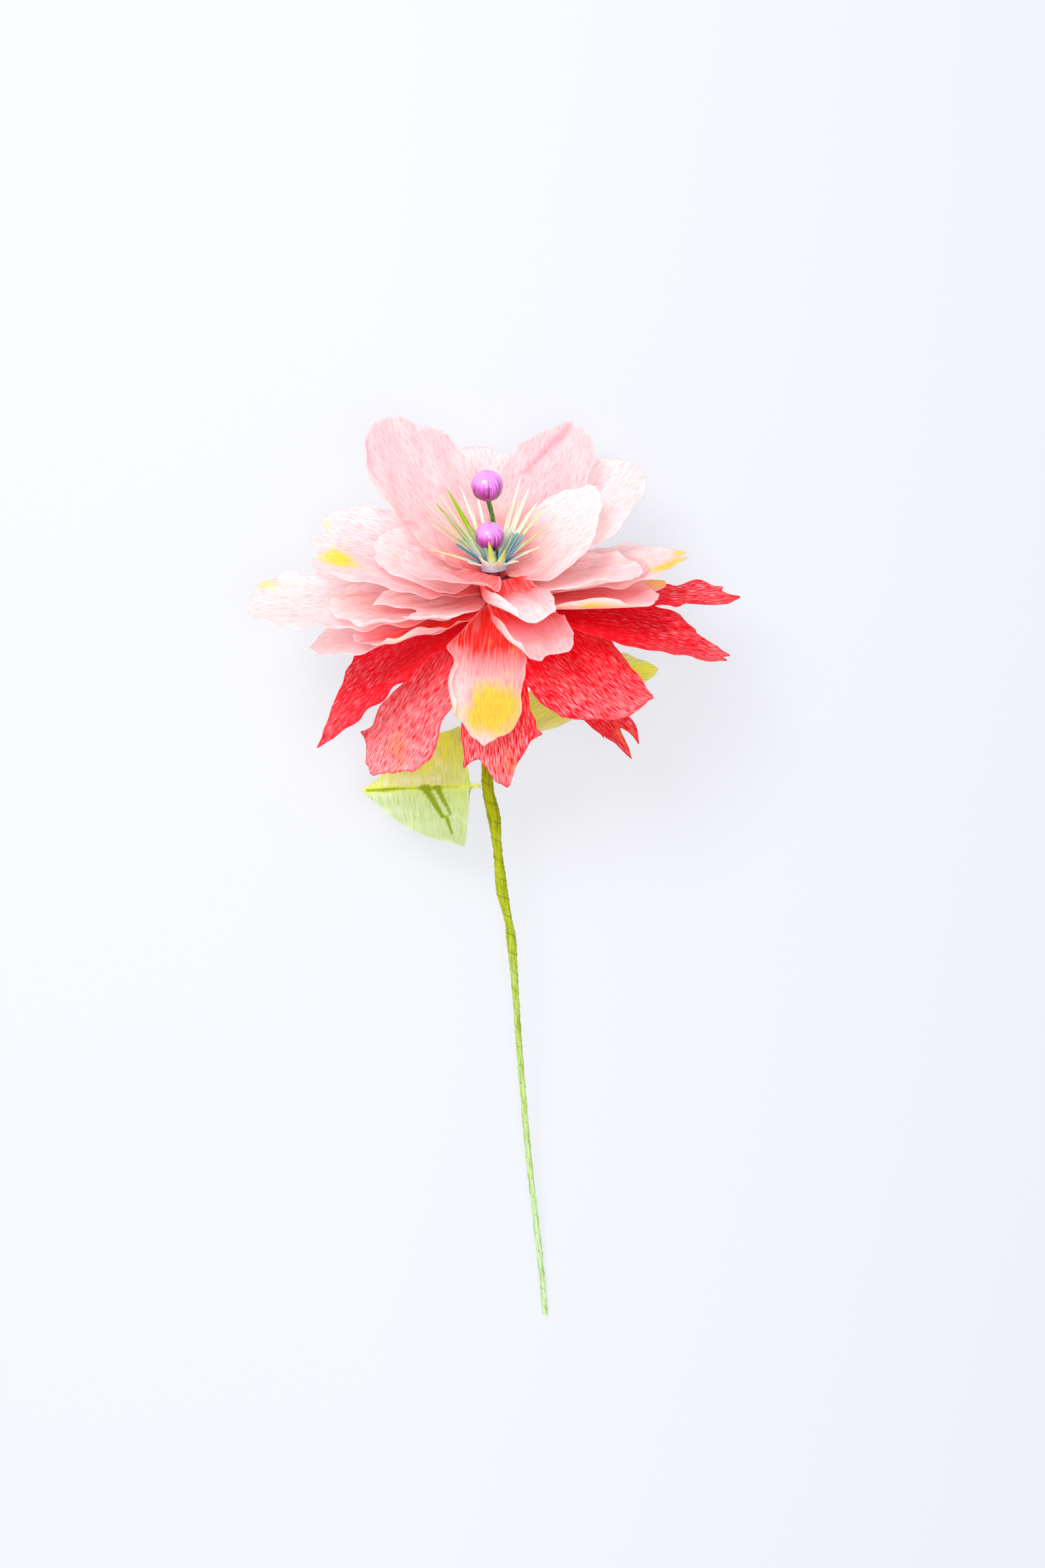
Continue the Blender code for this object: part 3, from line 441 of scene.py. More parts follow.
def paintOn(p, t, v, half):
    # what is on the paper at each place: brushed colour, painted warm shade at the foot, paleness
    layers = {
        "brush": 0 * t * v,
        "glow": p["glow"] * np.exp(-(t * p["length"] / p["glowReach"]) ** 2) + 0 * v,
        "pale": p["pale"] + p["fade"] * (t - 0.5) + 0 * v}
    for what, alongAt, acrossAt, alongReach, acrossReach, amount in p["spots"]:
        near = ((t - alongAt) / alongReach) ** 2 + ((v - acrossAt) / acrossReach) ** 2
        layers[what] = layers[what] + amount * np.exp(-near * sheetCut["spotFall"])
    across, along = v * half, t * p["length"] + 0 * v
    for what, (fromAlong, fromAcross), (toAlong, toAcross), wide, amount in p["strokes"]:
        # a straight stroke between two places in millimetres, thinner towards its end
        run = np.array([toAlong - fromAlong, toAcross - fromAcross])
        share = np.clip(((along - fromAlong) * run[0] + (across - fromAcross) * run[1]) / (run @ run),
                        0, 1)
        gap = np.hypot(along - fromAlong - share * run[0], across - fromAcross - share * run[1])
        layers[what] = layers[what] + amount * np.exp(-(gap / (wide * (1.1 - 0.6 * share))) ** 2)
    return np.stack([np.clip(layers[k], 0, 1) for k in ("brush", "glow", "pale")], -1)


def petalSheet(p, seed):
    rows, columns = sheetCut["rows"], sheetCut["columns"]
    tau = np.linspace(0, 1, rows + 1)[:, None]
    v = np.sin(np.linspace(-1, 1, columns + 1) * math.pi / 2)[None, :]
    outline = ends.get(p["end"], p["end"])
    reach = np.interp(v, [place for place, _ in outline], [share for _, share in outline])
    # the end is torn a little, in teeth of 2 to 4 mm
    rng = np.random.default_rng(seed)
    away = v * p["width"] / 2
    torn = sum(amount * nicks(away, pitch, rng) for amount, pitch in sheetCut["endNicks"])
    torn = torn * p["ragged"] / p["length"]
    t = np.clip(tau * reach + torn * smoothStep((tau - 0.75) / 0.25), 0, 1)
    half = halfWidth(p, t)
    # the long margins wander by a few tenths of a millimetre, and some have a spur
    margins = [
        sum(amount * nicks(t * p["length"], pitch, rng) for amount, pitch in sheetCut["marginNicks"])
        for _ in range(2)]
    rim = smoothStep((abs(v) - 0.5) / 0.5) * smoothStep(t / 0.25)
    half = half + p["ragged"] * np.where(v < 0, *margins) * rim
    for side, place, height, wide in p["spurs"]:
        spur = np.maximum(1 - abs(t * p["length"] - place) / wide, 0) ** 1.5
        half = half + np.where(v * side > 0, height * spur * smoothStep((abs(v) - 0.6) / 0.4), 0)
    out, up = acrossSheet(p, t, v, half)
    # soft gathers in the paper, long along the grain, and margins that flutter
    gather, flutter = [
        ripples(v * half / across, t * p["length"] / along, number, count)
        for number, (across, along, count) in ((seed, sheetCut["gathers"]),
                                               (seed + 3, sheetCut["flutters"]))]
    free = smoothStep(t / 0.35)
    up = up + free * (p["crinkle"] * gather * (0.5 + 0.5 * v * v) + p["flutter"] * flutter * abs(v) ** 3)
    rib = midrib(p)
    at = t * (len(rib) - 1)
    read = [np.interp(at, range(len(rib)), rib[:, k]) for k in range(9)]
    place, side, normal = (np.stack(read[k:k + 3], -1) for k in (0, 3, 6))
    points = place + side * out[..., None] + normal * up[..., None]
    if p["neck"]:
        # the foot of an inner petal is drawn up, and in to the collar
        height, out = p["neck"]
        drawn = (1 - smoothStep(t / 0.25)) + 0 * v
        points[..., 0] += drawn * (bindingRadius(height) + out - bindingRadius(p["seat"]))
        points[..., 2] += drawn * (height - p["seat"])
    cut = np.stack([v * half, t * p["length"] + 0 * v], -1)
    if p["turned"]:
        cut = cut[..., ::-1]
    # the last layer of the paint is how far the rim is, in centimetres
    rim = np.minimum((1 - abs(v)) * half, (t[-1:] - t) * p["length"]) / 10
    return points, cut, np.concatenate([paintOn(p, t, v, half), np.clip(rim, 0, 1)[..., None]], -1)


def addSheet(name, points, cut, paint, seed, paper):
    # a grid of points in world millimetres made into a sheet, with its flat cut as the UV map
    rows, columns = points.shape[0], points.shape[1]
    index = np.arange(rows * columns).reshape(rows, columns)
    faces = np.stack([index[:-1, :-1], index[1:, :-1], index[1:, 1:], index[:-1, 1:]], -1).reshape(-1, 4)
    mesh = bpy.data.meshes.new(name + "_paper")
    mesh.from_pydata((points.reshape(-1, 3) * mm).tolist(), [], faces.tolist())
    corner = np.zeros(len(mesh.loops), dtype=np.int32)
    mesh.loops.foreach_get("vertex_index", corner)
    shift = np.array([(seed * 7.31) % 50, (seed * 131.7) % 900])
    layer = mesh.uv_layers.new(name="cut")
    layer.uv.foreach_set("vector", (cut.reshape(-1, 2)[corner] + shift).ravel())
    colours = mesh.attributes.new("paint", "FLOAT_COLOR", "POINT")
    colours.data.foreach_set("color", paint.ravel())
    mesh.materials.append(paper)
    mesh.shade_smooth()
    made = addObject(name + "_paper", mesh)
    thicken(made, sheetCut["thickness"])
    finish(made, name)


def finish(made, node):
    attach(made, "root")
    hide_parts(node)


def thicken(made, thickness):
    solid = made.modifiers.new("paper thickness", "SOLIDIFY")
    solid.thickness = thickness * mm
    solid.offset = 0
    solid.use_even_offset = False


def bindingRadius(height):
    if height > binding["collarFoot"]:
        return binding["collarRadius"]
    if height > binding["foot"]:
        return binding["radius"]
    share = (binding["foot"] - height) / (binding["foot"] - binding["end"])
    return binding["radius"] + (binding["endRadius"] - binding["radius"]) * share


def turnAbout(angle):
    # turns rows of points about Z
    return np.array([[math.cos(angle), -math.sin(angle), 0], [math.sin(angle), math.cos(angle), 0],
                     [0, 0, 1]]).T


def petalValues(values):
    azimuth, seat, length, width, rise, others = values
    return dict(anyPetal, azimuth=azimuth, seat=seat, length=length, width=width, rise=rise, **others)


def addPetal(name, values, seed, paper):
    p = petalValues(values)
    points, cut, paint = petalSheet(p, seed)
    angle = math.radians(p["azimuth"] - 90)
    reach = bindingRadius(p["seat"]) + binding["gap"] + binding["paper"] / 4
    seat = np.array([math.cos(angle) * reach, math.sin(angle) * reach, p["seat"]])
    points = points @ turnAbout(angle) + seat
    points = points @ np.array(headTurn.to_3x3()).T + np.array(head["place"])
    addSheet(name, points, cut, paint, seed, paper)


for seed, (name, values) in enumerate(pinkPetals.items()):
    addPetal(name, values, seed, pinkCrepe)
for seed, (name, values) in enumerate(redPetals.items(), 40):
    addPetal(name, (*values[:5], {**anyRed, **values[5]}), seed, redCrepe)
print("petals cut:", len(pinkPetals) + len(redPetals))

# The stem's route: places of its centre line from the head's centre, and the diameter there
stem = {
    "start": ((0.0, 0.0, -22.3), 5.6),
    "route": (
        ((1.1, -31.0, -15.2), 4.9), ((-0.9, -46.0, -20.8), 4.6), ((-2.6, -62.0, -25.5), 4.7),
        ((-3.1, -78.6, -29.5), 4.4), ((-0.7, -90.7, -32.2), 5.0), ((0.6, -102.8, -34.6), 3.4),
        ((2.3, -118.6, -37.8), 4.4), ((4.7, -130.0, -40.1), 3.0), ((6.0, -139.0, -41.9), 3.7),
        ((7.4, -157.0, -45.4), 2.6), ((9.0, -180.0, -49.4), 2.4), ((12.7, -223.4, -56.4), 2.3),
        ((17.2, -264.3, -62.3), 2.2), ((19.2, -286.0, -65.3), 2.2)),
    "rings": 420, "sides": 28, "wrapPitch": 7.5, "wrapStep": 0.3, "crinkle": 0.12, "crinkleScale": 420.0,
}


def onRoute(place):
    endPlace, endDiameter = stem["route"][-1]
    drop = (head["place"][2] - endDiameter / 2) / -endPlace[2]
    return Vector(head["place"]) + Vector((place[0], place[1], place[2] * drop))


def splinePoints(points, count):
    points = [np.array(p, float) for p in points]
    padded = [2 * points[0] - points[1], *points, 2 * points[-1] - points[-2]]
    found = []
    for i in range(count):
        place = i / (count - 1) * (len(points) - 1)
        k = min(int(place), len(points) - 2)
        t = place - k
        a, b, c, d = padded[k:k + 4]
        found.append(0.5 * (2 * b + (c - a) * t + (2 * a - 5 * b + 4 * c - d) * t * t
                            + (3 * b - a - 3 * c + d) * t ** 3))
    return np.array(found)


# Crepe strip wound round the wire: matt, olive near the head and pale green lower down, with a
# darker line where each turn laps over the last, and painted shade in the valleys between its ridges
stripLook = {
    "top": "#7A8400", "upper": "#989F00", "middle": "#A6B224", "low": "#B4D07E", "end": "#BEDAA6",
    "seam": "#566204", "valleyShade": "#B4BC70", "round": 14.0,
    "noises": (("ridges", 1.2, 9), ("clouds", 5.0, 11.0)),
    "bump": 0.8, "relief": 0.18, "roughness": 0.7, "specular": 0.15,
}


def woundCrepe(name, look):
    made, tree = newMaterial(name)
    along, around, lap, length = [
        addNode(tree, "Attribute", {"attribute_name": label}, output="Fac")
        for label in ("alongStem", "aroundStem", "lap", "runLength")]
    noise = {}
    for layer, pitch, run in look["noises"]:
        place = addNode(tree, "CombineXYZ", {}, {
            0: addNode(tree, "Math", {"operation": "MULTIPLY"}, {0: around, 1: look["round"] / pitch}),
            1: addNode(tree, "Math", {"operation": "DIVIDE"}, {0: length, 1: run})})
        noise[layer] = addNode(tree, "TexNoise", {"noise_dimensions": "2D"},
                               {"Vector": place, "Scale": 1.0, "Detail": 2.0})
    tint = addNode(tree, "Math", {"operation": "MULTIPLY_ADD"},
                   {0: noise["clouds"], 1: 0.3, 2: along})
    colour = addNode(tree, "ValToRGB", {"stops": (
        (0.15, look["top"]), (0.38, look["upper"]), (0.58, look["middle"]), (0.85, look["low"]),
        (1.0, look["end"]))}, {0: tint})
    # painted shade darkens the valleys between the ridges, and the laps get their darker line
    for what, blend, value, start, end, most in (
            ("valleyShade", "MULTIPLY", noise["ridges"], 0.55, 0.3, 0.7),
            ("seam", "MIX", lap, 0.84, 1.0, 0.85)):
        share = addNode(tree, "MapRange", {}, {0: value, 1: start, 2: end, 3: 0.0, 4: most})
        colour = addNode(tree, "Mix", {"data_type": "RGBA", "blend_type": blend},
                         {0: share, 6: colour, 7: linearColour(look[what])}, 2)
    bump = addNode(tree, "Bump", {}, {
        "Strength": look["bump"], "Distance": look["relief"] * mm, "Height": noise["ridges"]})
    paper = addNode(tree, "BsdfPrincipled", {}, {
        "Base Color": colour, "Roughness": look["roughness"], "Specular IOR Level": look["specular"],
        "Normal": bump})
    addNode(tree, "OutputMaterial", {}, {"Surface": paper})
    return made


stripCrepe = woundCrepe("wound green crepe strip", stripLook)


def newTree(name, numbers):
    # a geometry tree with a named input for each number, and a material
    tree = bpy.data.node_groups.new(name, "GeometryNodeTree")
    tree.interface.new_socket("Geometry", in_out="INPUT", socket_type="NodeSocketGeometry")
    for label in numbers:
        tree.interface.new_socket(label, in_out="INPUT", socket_type="NodeSocketFloat")
    tree.interface.new_socket("Material", in_out="INPUT", socket_type="NodeSocketMaterial")
    tree.interface.new_socket("Geometry", in_out="OUTPUT", socket_type="NodeSocketGeometry")
    return tree, addNode(tree, "NodeGroupInput").node.outputs


def runTree(tree, source, name, values, paper, matrix=None):
    # the tree's inputs are set by their identifiers, and its result is kept as a plain mesh
    holder = addObject(name, source)
    modifier = holder.modifiers.new(name, "NODES")
    modifier.node_group = tree
    for item in tree.interface.items_tree:
        if item.in_out == "INPUT" and item.name in values:
            modifier[item.identifier] = float(values[item.name])
        if item.in_out == "INPUT" and item.name == "Material":
            modifier[item.identifier] = paper
    bpy.context.view_layer.update()
    evaluated = holder.evaluated_get(bpy.context.evaluated_depsgraph_get())
    mesh = bpy.data.meshes.new_from_object(evaluated)
    bpy.data.objects.remove(holder)
    mesh.name = name
    if matrix is not None:
        mesh.transform(matrix)
    mesh.shade_smooth()
    return addObject(name, mesh)


def windingTree():
    # sweeps a round section along the route and lays the strip's laps on it
    tree, given = newTree("winding", ("Sides", "Wrap pitch", "Wrap step", "Crinkle"))
    place = addNode(tree, "GeometryNodeSplineParameter").node.outputs
    turn = addNode(tree, "GeometryNodeSplineParameter", {}, {}, "Factor")
    ring = addNode(tree, "GeometryNodeCurvePrimitiveCircle", {},
                   {"Resolution": given["Sides"], "Radius": 1.0})
    parts = {}
    for label, shape, value in (("alongStem", given["Geometry"], place["Factor"]),
                                ("runLength", "alongStem", place["Length"]), ("aroundStem", ring, turn)):
        parts[label] = addNode(tree, "GeometryNodeStoreNamedAttribute", {"data_type": "FLOAT"}, {
            "Geometry": parts.get(shape, shape), "Name": label, "Value": value})
    swept = addNode(tree, "GeometryNodeCurveToMesh", {}, {
        "Curve": parts["runLength"], "Profile Curve": parts["aroundStem"], "Fill Caps": True,
        "Scale": addNode(tree, "GeometryNodeInputRadius")})
    noise = addNode(tree, "TexNoise", {"noise_dimensions": "3D"}, {
        "Vector": addNode(tree, "GeometryNodeInputPosition"), "Scale": stem["crinkleScale"],
        "Detail": 2.0})
    found = {"pitch": given["Wrap pitch"], "step": given["Wrap step"], "crinkle": given["Crinkle"],
             "noise": noise}
    for label in ("runLength", "aroundStem"):
        found[label] = addNode(tree, "GeometryNodeInputNamedAttribute", {"data_type": "FLOAT"},
                               {"Name": label})
    # each row is a sum: its name, the operation, and what goes in
    for label, operation, *terms in (
            ("run", "MULTIPLY", "runLength", 1000.0), ("turns", "DIVIDE", "run", "pitch"),
            ("wound", "ADD", "turns", "aroundStem"), ("lap", "FRACT", "wound"),
            ("level", "SUBTRACT", "lap", 0.5), ("centred", "SUBTRACT", "noise", 0.5),
            ("rough", "MULTIPLY", "centred", "crinkle"), ("rougher", "MULTIPLY", "rough", 4.0),
            ("lift", "MULTIPLY_ADD", "level", "step", "rougher"), ("metres", "MULTIPLY", "lift", mm)):
        found[label] = addNode(tree, "Math", {"operation": operation},
                               {i: found.get(term, term) for i, term in enumerate(terms)})
    meshed = swept
    for label, value in (("lap", "lap"), ("runLength", "run")):
        meshed = addNode(tree, "GeometryNodeStoreNamedAttribute", {"data_type": "FLOAT"}, {
            "Geometry": meshed, "Name": label, "Value": found[value]})
    outwards = addNode(tree, "VectorMath", {"operation": "SCALE"}, {
        0: addNode(tree, "GeometryNodeInputNormal"), "Scale": found["metres"]})
    moved = addNode(tree, "GeometryNodeSetPosition", {}, {"Geometry": meshed, "Offset": outwards})
    real = addNode(tree, "GeometryNodeRealizeInstances", {}, {0: moved})
    done = addNode(tree, "GeometryNodeSetMaterial", {},
                   {"Geometry": real, "Material": given["Material"]})
    addNode(tree, "NodeGroupOutput", {}, {0: done})
    return tree


def addStem():
    start, startDiameter = stem["start"]
    first = Vector(head["place"]) + headTurn.to_3x3() @ Vector(start)
    route = [(first, startDiameter)] + [(onRoute(place), d) for place, d in stem["route"]]
    points = splinePoints([place for place, _ in route], stem["rings"])
    radii = splinePoints([(d / 2,) for _, d in route], stem["rings"])[:, 0]
    curve = bpy.data.curves.new("stem route", "CURVE")
    curve.dimensions = "3D"
    spline = curve.splines.new("POLY")
    spline.points.add(len(points) - 1)
    for target, point, radius in zip(spline.points, points, radii):
        target.co = (*(point * mm), 1)
        target.radius = radius * mm
    made = runTree(windingTree(), curve, "stem_winding", {
        "Sides": stem["sides"], "Wrap pitch": stem["wrapPitch"], "Wrap step": stem["wrapStep"],
        "Crinkle": stem["crinkle"]}, stripCrepe)
    finish(made, "stem_wrap")


addStem()
print("stem wound")

# The leaves: the place on the route that each is glued at, its diameter, its heading, how far its
# claw starts from the stem, and its petal values
# On the leaves the lime of the right leaf and of the left leaf's upper half is their own colour made
# brighter as painted light where they are lit, and the lime stroke along the left leaf's fold is a
# painted highlight.
leaves = {
    "leaf_left": (((-3.1, -78.6, -29.5), 4.4), 182, 0.5, (0, 0, 46, 49, (-4, -6, -10), {
        "fold": -24, "cup": -6, "stalk": 0.09, "widest": 0.1, "taper": 0.92, "claw": 2, "pale": 0.35,
        "turned": True, "ragged": 0.4, "end": (
            (-1, 0.72), (-0.67, 0.8), (-0.33, 0.94), (0, 1.0), (0.2, 1.0), (0.67, 0.97), (1, 0.8)),
        "glow": 0.0, "spots": (("glow", 0.5, -0.8, 0.8, 0.66, 1.0),),
        "strokes": (("glow", (46, 0), (2, 0), 1.2, 1.0), ("brush", (44, 0.3), (3, 0.3), 0.7, 0.75),
                    ("brush", (21.5, 0), (15.5, 12.6), 1.3, 1.3),
                    ("brush", (14, 13), (12.5, 20), 0.8, 0.9),
                    ("brush", (16.8, 0), (12.2, 11.5), 1.0, 1.1),
                    ("pale", (36, -4), (16, -3), 2.4, 1.0), ("pale", (20, -18), (14, -8), 2.2, 0.9))})),
    "leaf_right": (((-2.6, -62.0, -25.5), 4.7), 33, 1.1, (0, 0, 68, 19, (-8, -4, 0), {
        "swing": -34, "fold": 10, "cup": 8, "widest": 0.5, "taper": 0.5, "claw": 2, "pale": 0.5,
        "glow": 0.0, "crinkle": 0.8, "flutter": 1.8,
        "spots": (("glow", 0.6, 0.0, 0.8, 1.2, 1.0),)})),
}


def addLeaf(name, seed):
    (place, diameter), heading, stand, values = leaves[name]
    p = petalValues(values)
    points, cut, paint = petalSheet(p, seed)
    angle = math.radians(heading)
    out = Vector((math.cos(angle), math.sin(angle), 0))
    foot = onRoute(place) + out * (diameter / 2 + stand)
    points = points @ turnAbout(angle) + np.array(foot)
    addSheet(name, points, cut, paint, seed, leafCrepe)


for seed, name in enumerate(leaves, 80):
    addLeaf(name, seed)
print("leaves cut")

# The fringes: strips of paper cut into teeth and wound round the collar. Each tooth is azimuth,
# length, elevation at its tip, width, and how green it is from 0 to 1. Thinner ones stand between
# the filaments: how much theirs differ from those of the tooth beside them
fringeBand = {"foot": 3.75, "height": 0.25, "sway": 0.03, "stripSteps": (26, 5), "ringSteps": (97, 3)}
thinTeeth = {
    "azimuth": (-4, 20), "length": (0.4, 0.9), "rise": (-9, 8), "width": (0.6, 1.1), "green": (0, 0.7),
    "sway": (-0.14, 0.14),
}
fringes = {
    "filaments": {
        "node": "fringe_filaments", "slot": "white_paper", "radius": 3.9, "bend": 4.5, "paper": 0.2,
        "between": 2, "gutter": 0.35, "shape": ((0.0, 0.55), (0.25, 1.0), (0.62, 0.76), (1.0, 0.06)),
        "teeth": (
            (82, 25, 37, 2.2, 0.5), (96, 27, 47, 3.2, 0.4), (110, 27, 52, 3.6, 0.1),
            (128, 30, 54, 3.2, 0.05), (144, 33, 56, 1.8, 0.0), (-164, 30, 62, 1.5, 0.0),
            (-146, 31, 62, 1.5, 0.0), (-122, 32, 62, 3.4, 1.0), (-109, 32, 60, 1.8, 0.2),
            (-96, 31, 56, 3.6, 1.0), (-83, 34, 54, 1.9, 0.2), (-70, 33, 49, 2.0, 0.6))},
    "blue": {
        "node": "fringe_blue", "slot": "blue_paper", "radius": 4.6, "bend": 4.5, "paper": 0.2,
        "between": 0, "gutter": 0.6, "shape": ((0.0, 0.8), (0.25, 1.0), (0.7, 0.95), (1.0, 0.75)),
        "teeth": (
            (-160, 13, 56, 2.2, 0), (-126, 13, 50, 2.2, 0), (-110, 13, 46, 2.8, 0),
            (-98, 14.5, 42, 3.0, 0),
            (-86, 14, 40, 2.8, 0), (-56, 12, 50, 2.2, 0), (-28, 10, 80, 1.8, 0), (4, 8.5, 78, 1.8, 0),
            (31, 9.5, 74, 2.0, 0), (61, 12, 46, 2.4, 0), (88, 14, 50, 3.4, 0), (104, 13, 58, 1.8, 0.5),
            (118, 12, 60, 1.8, 0), (140, 13, 50, 2.0, 0))},
    "collar": {
        "node": "fringe_white", "slot": "white_paper", "radius": 5.3, "bend": 2.4, "paper": 0.2,
        "between": 0, "gutter": 0.6, "shape": ((0.0, 1.0), (0.3, 1.0), (0.65, 0.55), (1.0, 0.04)),
        "teeth": (
            (-110, 9, 30, 3.6, 0.1), (-72, 23, 30, 3.0, 0.3), (-62, 8, 30, 3.6, 0.0),
            (-36, 9, 58, 3.8, 0.1),
            (-8, 13, 84, 3.8, 0.9), (8, 6.5, 50, 3.4, 0.2), (33, 10, 70, 4.0, 0.7),
            (54, 8, 24, 3.6, 0.0),
            (80, 15, 26, 3.2, 0.1), (112, 9, 30, 3.4, 0.1), (150, 9, 40, 3.4, 0.1),
            (-150, 9, 40, 3.4, 0.1))},
}


def fringeTree():
    # one strip per point, bent off the collar by its own numbers, and the band that they are cut from
    tree, given = newTree("cut fringe", ("Radius", "Foot", "Band", "Bend", "Gutter"))
    strip = addNode(tree, "GeometryNodeMeshGrid", {}, {
        "Size X": 1.0, "Size Y": 2.0, "Vertices X": fringeBand["stripSteps"][0],
        "Vertices Y": fringeBand["stripSteps"][1]}, "Mesh")
    placed = addNode(tree, "GeometryNodeInstanceOnPoints", {}, {
        "Points": given["Geometry"], "Instance": strip})
    real = addNode(tree, "GeometryNodeRealizeInstances", {}, {0: placed})
    # the band is a ring as high as Band
    ring = addNode(tree, "GeometryNodeMeshGrid", {}, {
        "Size X": 1.0, "Size Y": 1.0, "Vertices X": fringeBand["ringSteps"][0],
        "Vertices Y": fringeBand["ringSteps"][1]}, "Mesh")
    position = addNode(tree, "GeometryNodeInputPosition")
    gridX, gridY, _ = addNode(tree, "SeparateXYZ", {}, {0: position}).node.outputs
    found = {"gridX": gridX, "gridY": gridY}
    for label in ("Radius", "Foot", "Band", "Bend", "Gutter"):
        found[label.lower()] = given[label]
    for label in ("azimuth", "reach", "tip", "width", "sway", "along"):
        found[label] = addNode(tree, "GeometryNodeInputNamedAttribute", {"data_type": "FLOAT"},
                               {"Name": label})
    shaping = addNode(tree, "FloatCurve", {}, {"Value": found["along"]})
    shaping.node.name = "tooth shape"
    found["shape"] = shaping
    # each row is a sum: its name, the operation, and what goes in
    for label, operation, *terms in (
            # how far along the strip, past the band
            ("share", "ADD", "gridX", 0.5), ("whole", "ADD", "reach", "band"),
            ("walked", "MULTIPLY", "share", "whole"), ("gone", "SUBTRACT", "walked", "band"),
            ("free", "MAXIMUM", "gone", 0.0), ("alongHere", "DIVIDE", "free", "reach"),
            # the bend off the collar, and the straight run beyond it
            ("bending", "MINIMUM", "free", "bend"), ("rest", "SUBTRACT", "gone", "bend"),
            ("beyond", "MAXIMUM", "rest", 0.0), ("lean", "SUBTRACT", math.pi / 2, "tip"),
            ("rate", "DIVIDE", "lean", "bend"), ("bent", "MULTIPLY", "rate", "bending"),
            ("bentCosine", "COSINE", "bent"), ("bentSine", "SINE", "bent"),
            ("drawnOut", "SUBTRACT", 1.0, "bentCosine"), ("bendOut", "DIVIDE", "drawnOut", "rate"),
            ("bendUp", "DIVIDE", "bentSine", "rate"), ("tipCosine", "COSINE", "tip"),
            ("tipSine", "SINE", "tip"), ("outwards", "MULTIPLY_ADD", "beyond", "tipCosine", "bendOut"),
            ("upwards", "MULTIPLY_ADD", "beyond", "tipSine", "bendUp"),
            ("below", "MINIMUM", "gone", 0.0),
            # the strip's cross-section is a shallow gutter
            ("wide", "MULTIPLY", "width", "shape"), ("half", "MULTIPLY", "wide", 0.5),
            ("squared", "MULTIPLY", "gridY", "gridY"), ("deep", "MULTIPLY", "half", "gutter"),
            ("dip", "MULTIPLY", "deep", "squared"), ("dipOut", "MULTIPLY", "dip", "bentCosine"),
            ("out", "SUBTRACT", "outwards", "dipOut"),
            ("up", "MULTIPLY_ADD", "dip", "bentSine", "upwards"),
            ("swayed", "MULTIPLY", "along", "along"), ("aside", "MULTIPLY", "sway", "swayed"),
            ("side", "MULTIPLY_ADD", "gridY", "half", "aside"), ("radial", "ADD", "radius", "out"),
            ("cosine", "COSINE", "azimuth"), ("sine", "SINE", "azimuth"),
            ("sideSine", "MULTIPLY", "side", "sine"), ("radialCosine", "MULTIPLY", "radial", "cosine"),
            ("x", "SUBTRACT", "radialCosine", "sideSine"), ("radialSine", "MULTIPLY", "radial", "sine"),
            ("y", "MULTIPLY_ADD", "side", "cosine", "radialSine"), ("top", "ADD", "foot", "band"),
            ("level", "ADD", "top", "below"), ("z", "ADD", "level", "up"),
            # the band
            ("angle", "MULTIPLY", "gridX", math.tau), ("angleCosine", "COSINE", "angle"),
            ("angleSine", "SINE", "angle"), ("bandX", "MULTIPLY", "angleCosine", "radius"),
            ("bandY", "MULTIPLY", "angleSine", "radius"), ("bandShare", "ADD", "gridY", 0.5),
            ("bandZ", "MULTIPLY_ADD", "bandShare", "band", "foot")):
        found[label] = addNode(tree, "Math", {"operation": operation},
                               {i: found.get(term, term) for i, term in enumerate(terms)})
    labelled = addNode(tree, "GeometryNodeStoreNamedAttribute", {"data_type": "FLOAT"}, {
        "Geometry": real, "Name": "along", "Value": found["alongHere"]})
    joined = addNode(tree, "GeometryNodeJoinGeometry")
    for part, names in ((labelled, ("x", "y", "z")), (ring, ("bandX", "bandY", "bandZ"))):
        place = addNode(tree, "CombineXYZ", {}, {i: found[name] for i, name in enumerate(names)})
        moved = addNode(tree, "GeometryNodeSetPosition", {}, {"Geometry": part, "Position": place})
        tree.links.new(moved, joined.node.inputs[0])
    scaled = addNode(tree, "GeometryNodeTransform", {}, {"Geometry": joined, "Scale": (mm, mm, mm)})
    whole = addNode(tree, "GeometryNodeRealizeInstances", {}, {0: scaled})
    done = addNode(tree, "GeometryNodeSetMaterial", {},
                   {"Geometry": whole, "Material": given["Material"]})
    addNode(tree, "NodeGroupOutput", {}, {0: done})
    return tree


# Thin dyed paper strips: matt, their colour drawn up from the foot to the tip
def stripPaper(name, look):
    made, tree = newMaterial(name)
    along, green = [addNode(tree, "Attribute", {"attribute_name": label}, output="Fac")
                    for label in ("along", "green")]
    place = addNode(tree, "TexCoord", output="Object")
    noise = addNode(tree, "TexNoise", {}, {"Vector": place, "Scale": 700.0, "Detail": 2.0})
    reach = addNode(tree, "Math", {"operation": "MULTIPLY_ADD"}, {0: noise, 1: 0.3, 2: along})
    plain = addNode(tree, "ValToRGB", {"stops": (
        (0.15, look["foot"]), (0.5, look["middle"]), (1.0, look["tip"]))}, {0: reach})
    reached = addNode(tree, "MapRange", {}, {0: reach, 1: 0.2, 2: 0.7})
    share = addNode(tree, "Math", {"operation": "MULTIPLY"}, {0: green, 1: reached})
    colour = addNode(tree, "Mix", {"data_type": "RGBA"},
                     {0: share, 6: plain, 7: linearColour(look["green"])}, 2)
    bump = addNode(tree, "Bump", {}, {
        "Strength": 0.6, "Distance": look["relief"] * mm, "Height": noise})
    facing = addNode(tree, "BsdfPrincipled", {}, {
        "Base Color": colour, "Roughness": look["roughness"], "Specular IOR Level": 0.3, "Normal": bump})
    through = addNode(tree, "BsdfTranslucent", {}, {"Color": colour})
    both = addNode(tree, "MixShader", {}, {0: 0.35, 1: facing, 2: through})
    addNode(tree, "OutputMaterial", {}, {"Surface": both})
    return made


